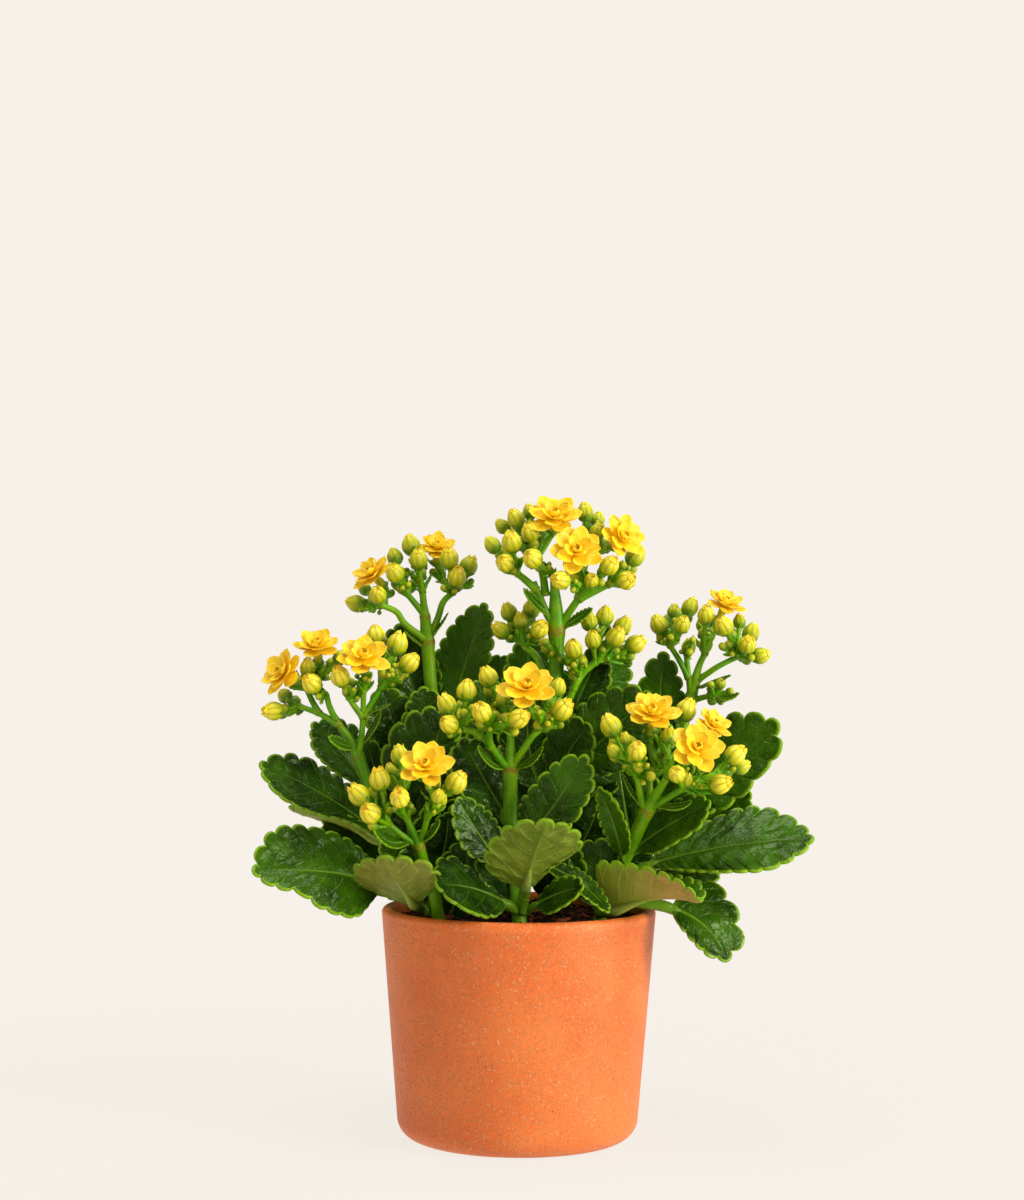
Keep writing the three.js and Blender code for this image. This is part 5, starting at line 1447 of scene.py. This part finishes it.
def soil_material():
    """Nearly black damp peat."""
    shade = Shade("dark_soil", Specular_IOR_Level=0.25)
    colour = shade.mix(shade.band(shade.noise(2.2, 4, 0.65), 0.35, 0.7), rgb(24, 14, 8), rgb(62, 38, 22))
    shade.bump(shade.plus(shade.noise(1.2, 4, 0.7), shade.times(shade.cells(2.0), 0.8)), 1.0)
    return shade.done(colour, 0.9)


def bark_material():
    """Dark to rusty brown, each bit in its own shade."""
    shade = Shade("bark_chip", Specular_IOR_Level=0.25)
    bit = shade.value("bit")
    colour = shade.mix(shade.band(bit, 0.3, 0.9), rgb(44, 24, 12), rgb(164, 84, 34))
    colour = shade.over(colour, rgb(58, 32, 18), shade.noise(0.8, 3), 0.5)
    shade.bump(shade.noise(0.5, 3), 0.3)
    return shade.done(colour, 0.85)


# ---- studio ----------------------------------------------------------------------------------

# The studio's sizes and places are in metres.
BACKDROP = rgb(247, 241, 233)
WORLD_FILL = 0.21
FLOOR_RADIUS = 30.0
FLOOR_SIDES = 96
FLOOR_NEAR = 0.1
FLOOR_FAR = 0.5
SHADOW_SHARE = 0.09

CAMERA_PLACE = (-0.0033, -0.942, 0.196)
CAMERA_LENS = 77.3
CAMERA_ROLL = 0.0071


def mixed(tree, share, one, two):
    node = tree.nodes.new("ShaderNodeMixShader")
    tree.links.new(share, node.inputs[0])
    tree.links.new(one, node.inputs[1])
    tree.links.new(two, node.inputs[2])
    return node.outputs[0]


def make_world():
    """The backdrop colour all round, which lights the plant with a softer strength than it shows."""
    world = bpy.data.worlds.new("studio")
    bpy.context.scene.world = world
    world.use_nodes = True
    tree = world.node_tree
    tree.nodes.clear()
    glows = []
    for strength in (WORLD_FILL, 1.0):
        glow = tree.nodes.new("ShaderNodeBackground")
        glow.inputs["Color"].default_value = BACKDROP
        glow.inputs["Strength"].default_value = strength
        glows.append(glow.outputs[0])
    seen = tree.nodes.new("ShaderNodeLightPath").outputs["Is Camera Ray"]
    output = tree.nodes.new("ShaderNodeOutputWorld")
    tree.links.new(mixed(tree, seen, *glows), output.inputs["Surface"])


def make_floor():
    """A pale floor that takes a faint shadow near the pot and runs into the backdrop far off."""
    shade = Shade("pale_floor", Roughness=0.9, Specular_IOR_Level=0.0)
    shade.done(rgb(226, 221, 214))
    far = shade.tree.nodes.new("ShaderNodeVectorMath")
    far.operation = "LENGTH"
    shade.feed(far.inputs[0], shade.place)
    blend = shade.band(far.outputs["Value"], FLOOR_NEAR, FLOOR_FAR, 1 - SHADOW_SHARE, 1.0)
    glow = shade.tree.nodes.new("ShaderNodeEmission")
    glow.inputs["Color"].default_value = BACKDROP
    glow.inputs["Strength"].default_value = 1.0
    output = shade.tree.nodes["Material Output"]
    surface = mixed(shade.tree, blend, shade.shader.outputs[0], glow.outputs[0])
    shade.feed(output.inputs["Surface"], surface)
    mesh = bpy.data.meshes.new("floor")
    turn = round_turns(FLOOR_SIDES)
    rim = [(FLOOR_RADIUS * math.cos(a), FLOOR_RADIUS * math.sin(a), 0) for a in turn]
    mesh.from_pydata(rim, [], [list(range(len(rim)))])
    mesh.materials.append(shade.material)
    floor = bpy.data.objects.new("floor", mesh)
    bpy.context.scene.collection.objects.link(floor)
    floor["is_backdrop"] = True


def make_light(name, place, aim, size, power, colour=(1.0, 1.0, 1.0)):
    data = bpy.data.lights.new(name, "AREA")
    data.shape = "DISK"
    data.size = size
    data.energy = power
    data.color = colour
    light = bpy.data.objects.new(name, data)
    light.location = place
    light.rotation_euler = (Vector(aim) - Vector(place)).to_track_quat("-Z", "Y").to_euler()
    bpy.context.scene.collection.objects.link(light)


def make_studio():
    """Backdrop, floor, soft lights and the camera."""
    scene = bpy.context.scene
    scene.view_settings.view_transform = "Standard"
    make_world()
    make_floor()
    middle = (0, 0, 0.12)
    make_light("key", (1.15, -0.85, 0.78), middle, 0.85, 19, (1.0, 0.98, 0.94))
    make_light("sheen", (1.15, -0.5, 0.16), (0, 0, 0.06), 0.4, 6.5)
    make_light("top", (-0.1, -0.1, 1.1), middle, 0.7, 6)
    make_light("left_fill", (-0.9, -0.6, 0.45), middle, 0.6, 1.5, (1.0, 0.78, 0.52))
    make_light("back", (0.5, 0.9, 0.6), middle, 0.5, 1.5)
    data = bpy.data.cameras.new("camera")
    data.lens = CAMERA_LENS
    camera = bpy.data.objects.new("camera", data)
    level = Matrix.Rotation(math.pi / 2, 4, "X")
    roll = Matrix.Rotation(CAMERA_ROLL, 4, "Z")
    camera.matrix_world = Matrix.Translation(CAMERA_PLACE) @ level @ roll
    scene.collection.objects.link(camera)
    scene.camera = camera


# ---- the plant in its pot --------------------------------------------------------------------

def flower_foot(flower, share=1.0):
    """Where the flower's tube starts, or a point at this share of the tube's length below the face."""
    return np.array(flower.at, float) - unit(flower.faces) * FLOWER_TUBE * share


def add_hidden_buds(buds, joint, goals, rng, ripeness):
    """Smaller green buds low inside this part of the head, for two in three of the buds that it
    has, and buds on its far side."""
    middle = np.mean(goals, axis=0)
    seen = list(goals)
    for goal in rng.sample(seen, (2 * len(seen) + 2) // 3):
        inner = joint + (goal - joint) * rng.uniform(0.6, 0.95)
        inner = inner + np.array([rng.uniform(-3.5, 3.5), rng.uniform(-2, 5), rng.uniform(-3, 1)])
        axis = unit(inner - joint + np.array((0, 0, 2.0)))
        radius = rng.uniform(*GREEN_BUD)
        add_bud(buds, inner, axis, radius, rng, ripeness)
        goals.append(inner - axis * radius)
    for goal in seen:
        far = middle + FAR_SHARE * (goal - middle)
        far = far + np.array([rng.uniform(-2, 2), rng.uniform(*FAR_DEPTH), rng.uniform(-2, 0.5)])
        axis = unit(far - joint + np.array((0, 0, 2.0)))
        radius = rng.uniform(*FAR_BUD)
        add_bud(buds, far, axis, radius, rng, ripeness)
        goals.append(far - axis * radius)


def make_stem(stem, green, bud_skin, leaf_skin, rng):
    """One flower stem as three pieces: its stalks, its buds and its larger bracts."""
    stalks = Surface(*STEM_VALUES)
    buds = Surface(*BUD_VALUES)
    add_main_stem(stalks, stem, rng)
    ends = branch_ends(stem)
    groups = {}
    for x, y, z, radius in stem.buds:
        middle = np.array((x, y, z), float)
        joint = sprout(ends, middle)
        axis = unit(middle - joint + np.array((0, 0, 2.0)))
        add_bud(buds, middle, axis, radius, rng, stem.ripe)
        groups.setdefault(tuple(joint), []).append(middle - axis * radius)
    for flower in FLOWERS:
        if flower.on == stem.name:
            axis = unit(flower.faces)
            foot = flower_foot(flower, CALYX_PLACE)
            add_calyx(buds, foot, axis, *turned_to(axis), FLOWER_CALYX, rng)
            groups.setdefault(tuple(sprout(ends, flower_foot(flower))), []).append(foot)
    for joint, goals in groups.items():
        add_hidden_buds(buds, np.array(joint), goals, rng, stem.ripe)
    nodes = []
    for joint, goals in groups.items():
        add_sprays(stalks, np.array(joint), np.array(goals), rng, nodes)
    add_joint_details(stalks, buds, nodes, rng)
    stalks.piece(stem.name + "_stalks", green, [stem.name])
    buds.piece(stem.name + "_buds", bud_skin)
    bracts = Surface(*LEAF_VALUES)
    for bract in stem.bracts:
        blade = Leaf("bract", bract.base, bract.bend, bract.tip, bract.width, bract.face, neck=0.05,
                     cup=0.15, lobes=0.6, wave=0.3, tone=0.9)
        add_leaf(bracts, blade, rng)
    bracts.piece(stem.name + "_bracts", leaf_skin)


def make_flowers(petals, rng):
    for flower in FLOWERS:
        surface = Surface(*PETAL_VALUES)
        add_flower(surface, flower, rng)
        surface.piece(flower.name + "_petals", petals, [flower.name])


def filler_leaves(rng):
    """Rings of leaves round the foot of the stems, deep inside the plant, made dark with painted shade.
    """
    made = []
    for ring in FILLER_RINGS:
        for i in range(ring.count):
            angle = (i + rng.uniform(-0.25, 0.25)) / ring.count * 2 * math.pi + ring.turn
            across, deep = math.cos(angle), math.sin(angle)
            if deep < FILLER_FRONT:
                continue
            tip_height = ring.tip_height + rng.uniform(-4, 4)
            tip = (ring.tip_out * across, ring.tip_out * deep * 0.9 + 6, tip_height)
            base = (ring.base_out * across, ring.base_out * deep + 4, ring.base_height)
            bend = (0.55 * (tip[0] + base[0]), 0.55 * (tip[1] + base[1]), tip[2] + ring.arch)
            face = (-0.35 * across, -0.35 * deep - 0.3, 0.75)
            width = rng.uniform(0.85, 1.15) * ring.width
            # The low tone is painted shade for leaves deep inside the plant.
            made.append(Leaf(f"{ring.name}_{i}", base, bend, tip, width, face, tone=0.15))
    return made


def on_a_stem(leaf):
    """The leaf with its foot moved onto the nearest stem."""
    lines = np.concatenate([smooth_line(stem.path, 8) for stem in STEMS])
    nearest = np.linalg.norm(lines - np.array(leaf.base, float), axis=1).argmin()
    return replace(leaf, base=tuple(lines[nearest]))


def make_leaf(name, leaf, skin, rng, replaced=()):
    surface = Surface(*LEAF_VALUES)
    add_leaf(surface, leaf, rng)
    surface.piece(name, skin, replaced)


def make_leaves(skin, rng):
    for leaf in LEAVES:
        make_leaf(leaf.name + "_blade", leaf, skin, rng, [leaf.name])
    for leaf in INNER_LEAVES + filler_leaves(rng):
        make_leaf("small_leaf_" + leaf.name, on_a_stem(leaf), skin, rng)


make_studio()
make_pot(clay_material())
make_soil(soil_material(), bark_material())
draws = random.Random(PLANT_SEED)
leaf_skin, green, bud_skin = leaf_material(), stem_material(), bud_material()
for each in STEMS:
    make_stem(each, green, bud_skin, leaf_skin, draws)
make_flowers(petal_material(), draws)
make_leaves(leaf_skin, draws)

({name: [list(corner) for corner in box]
           for name, box in (("cad", CAD_BOX), ("visual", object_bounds()))})
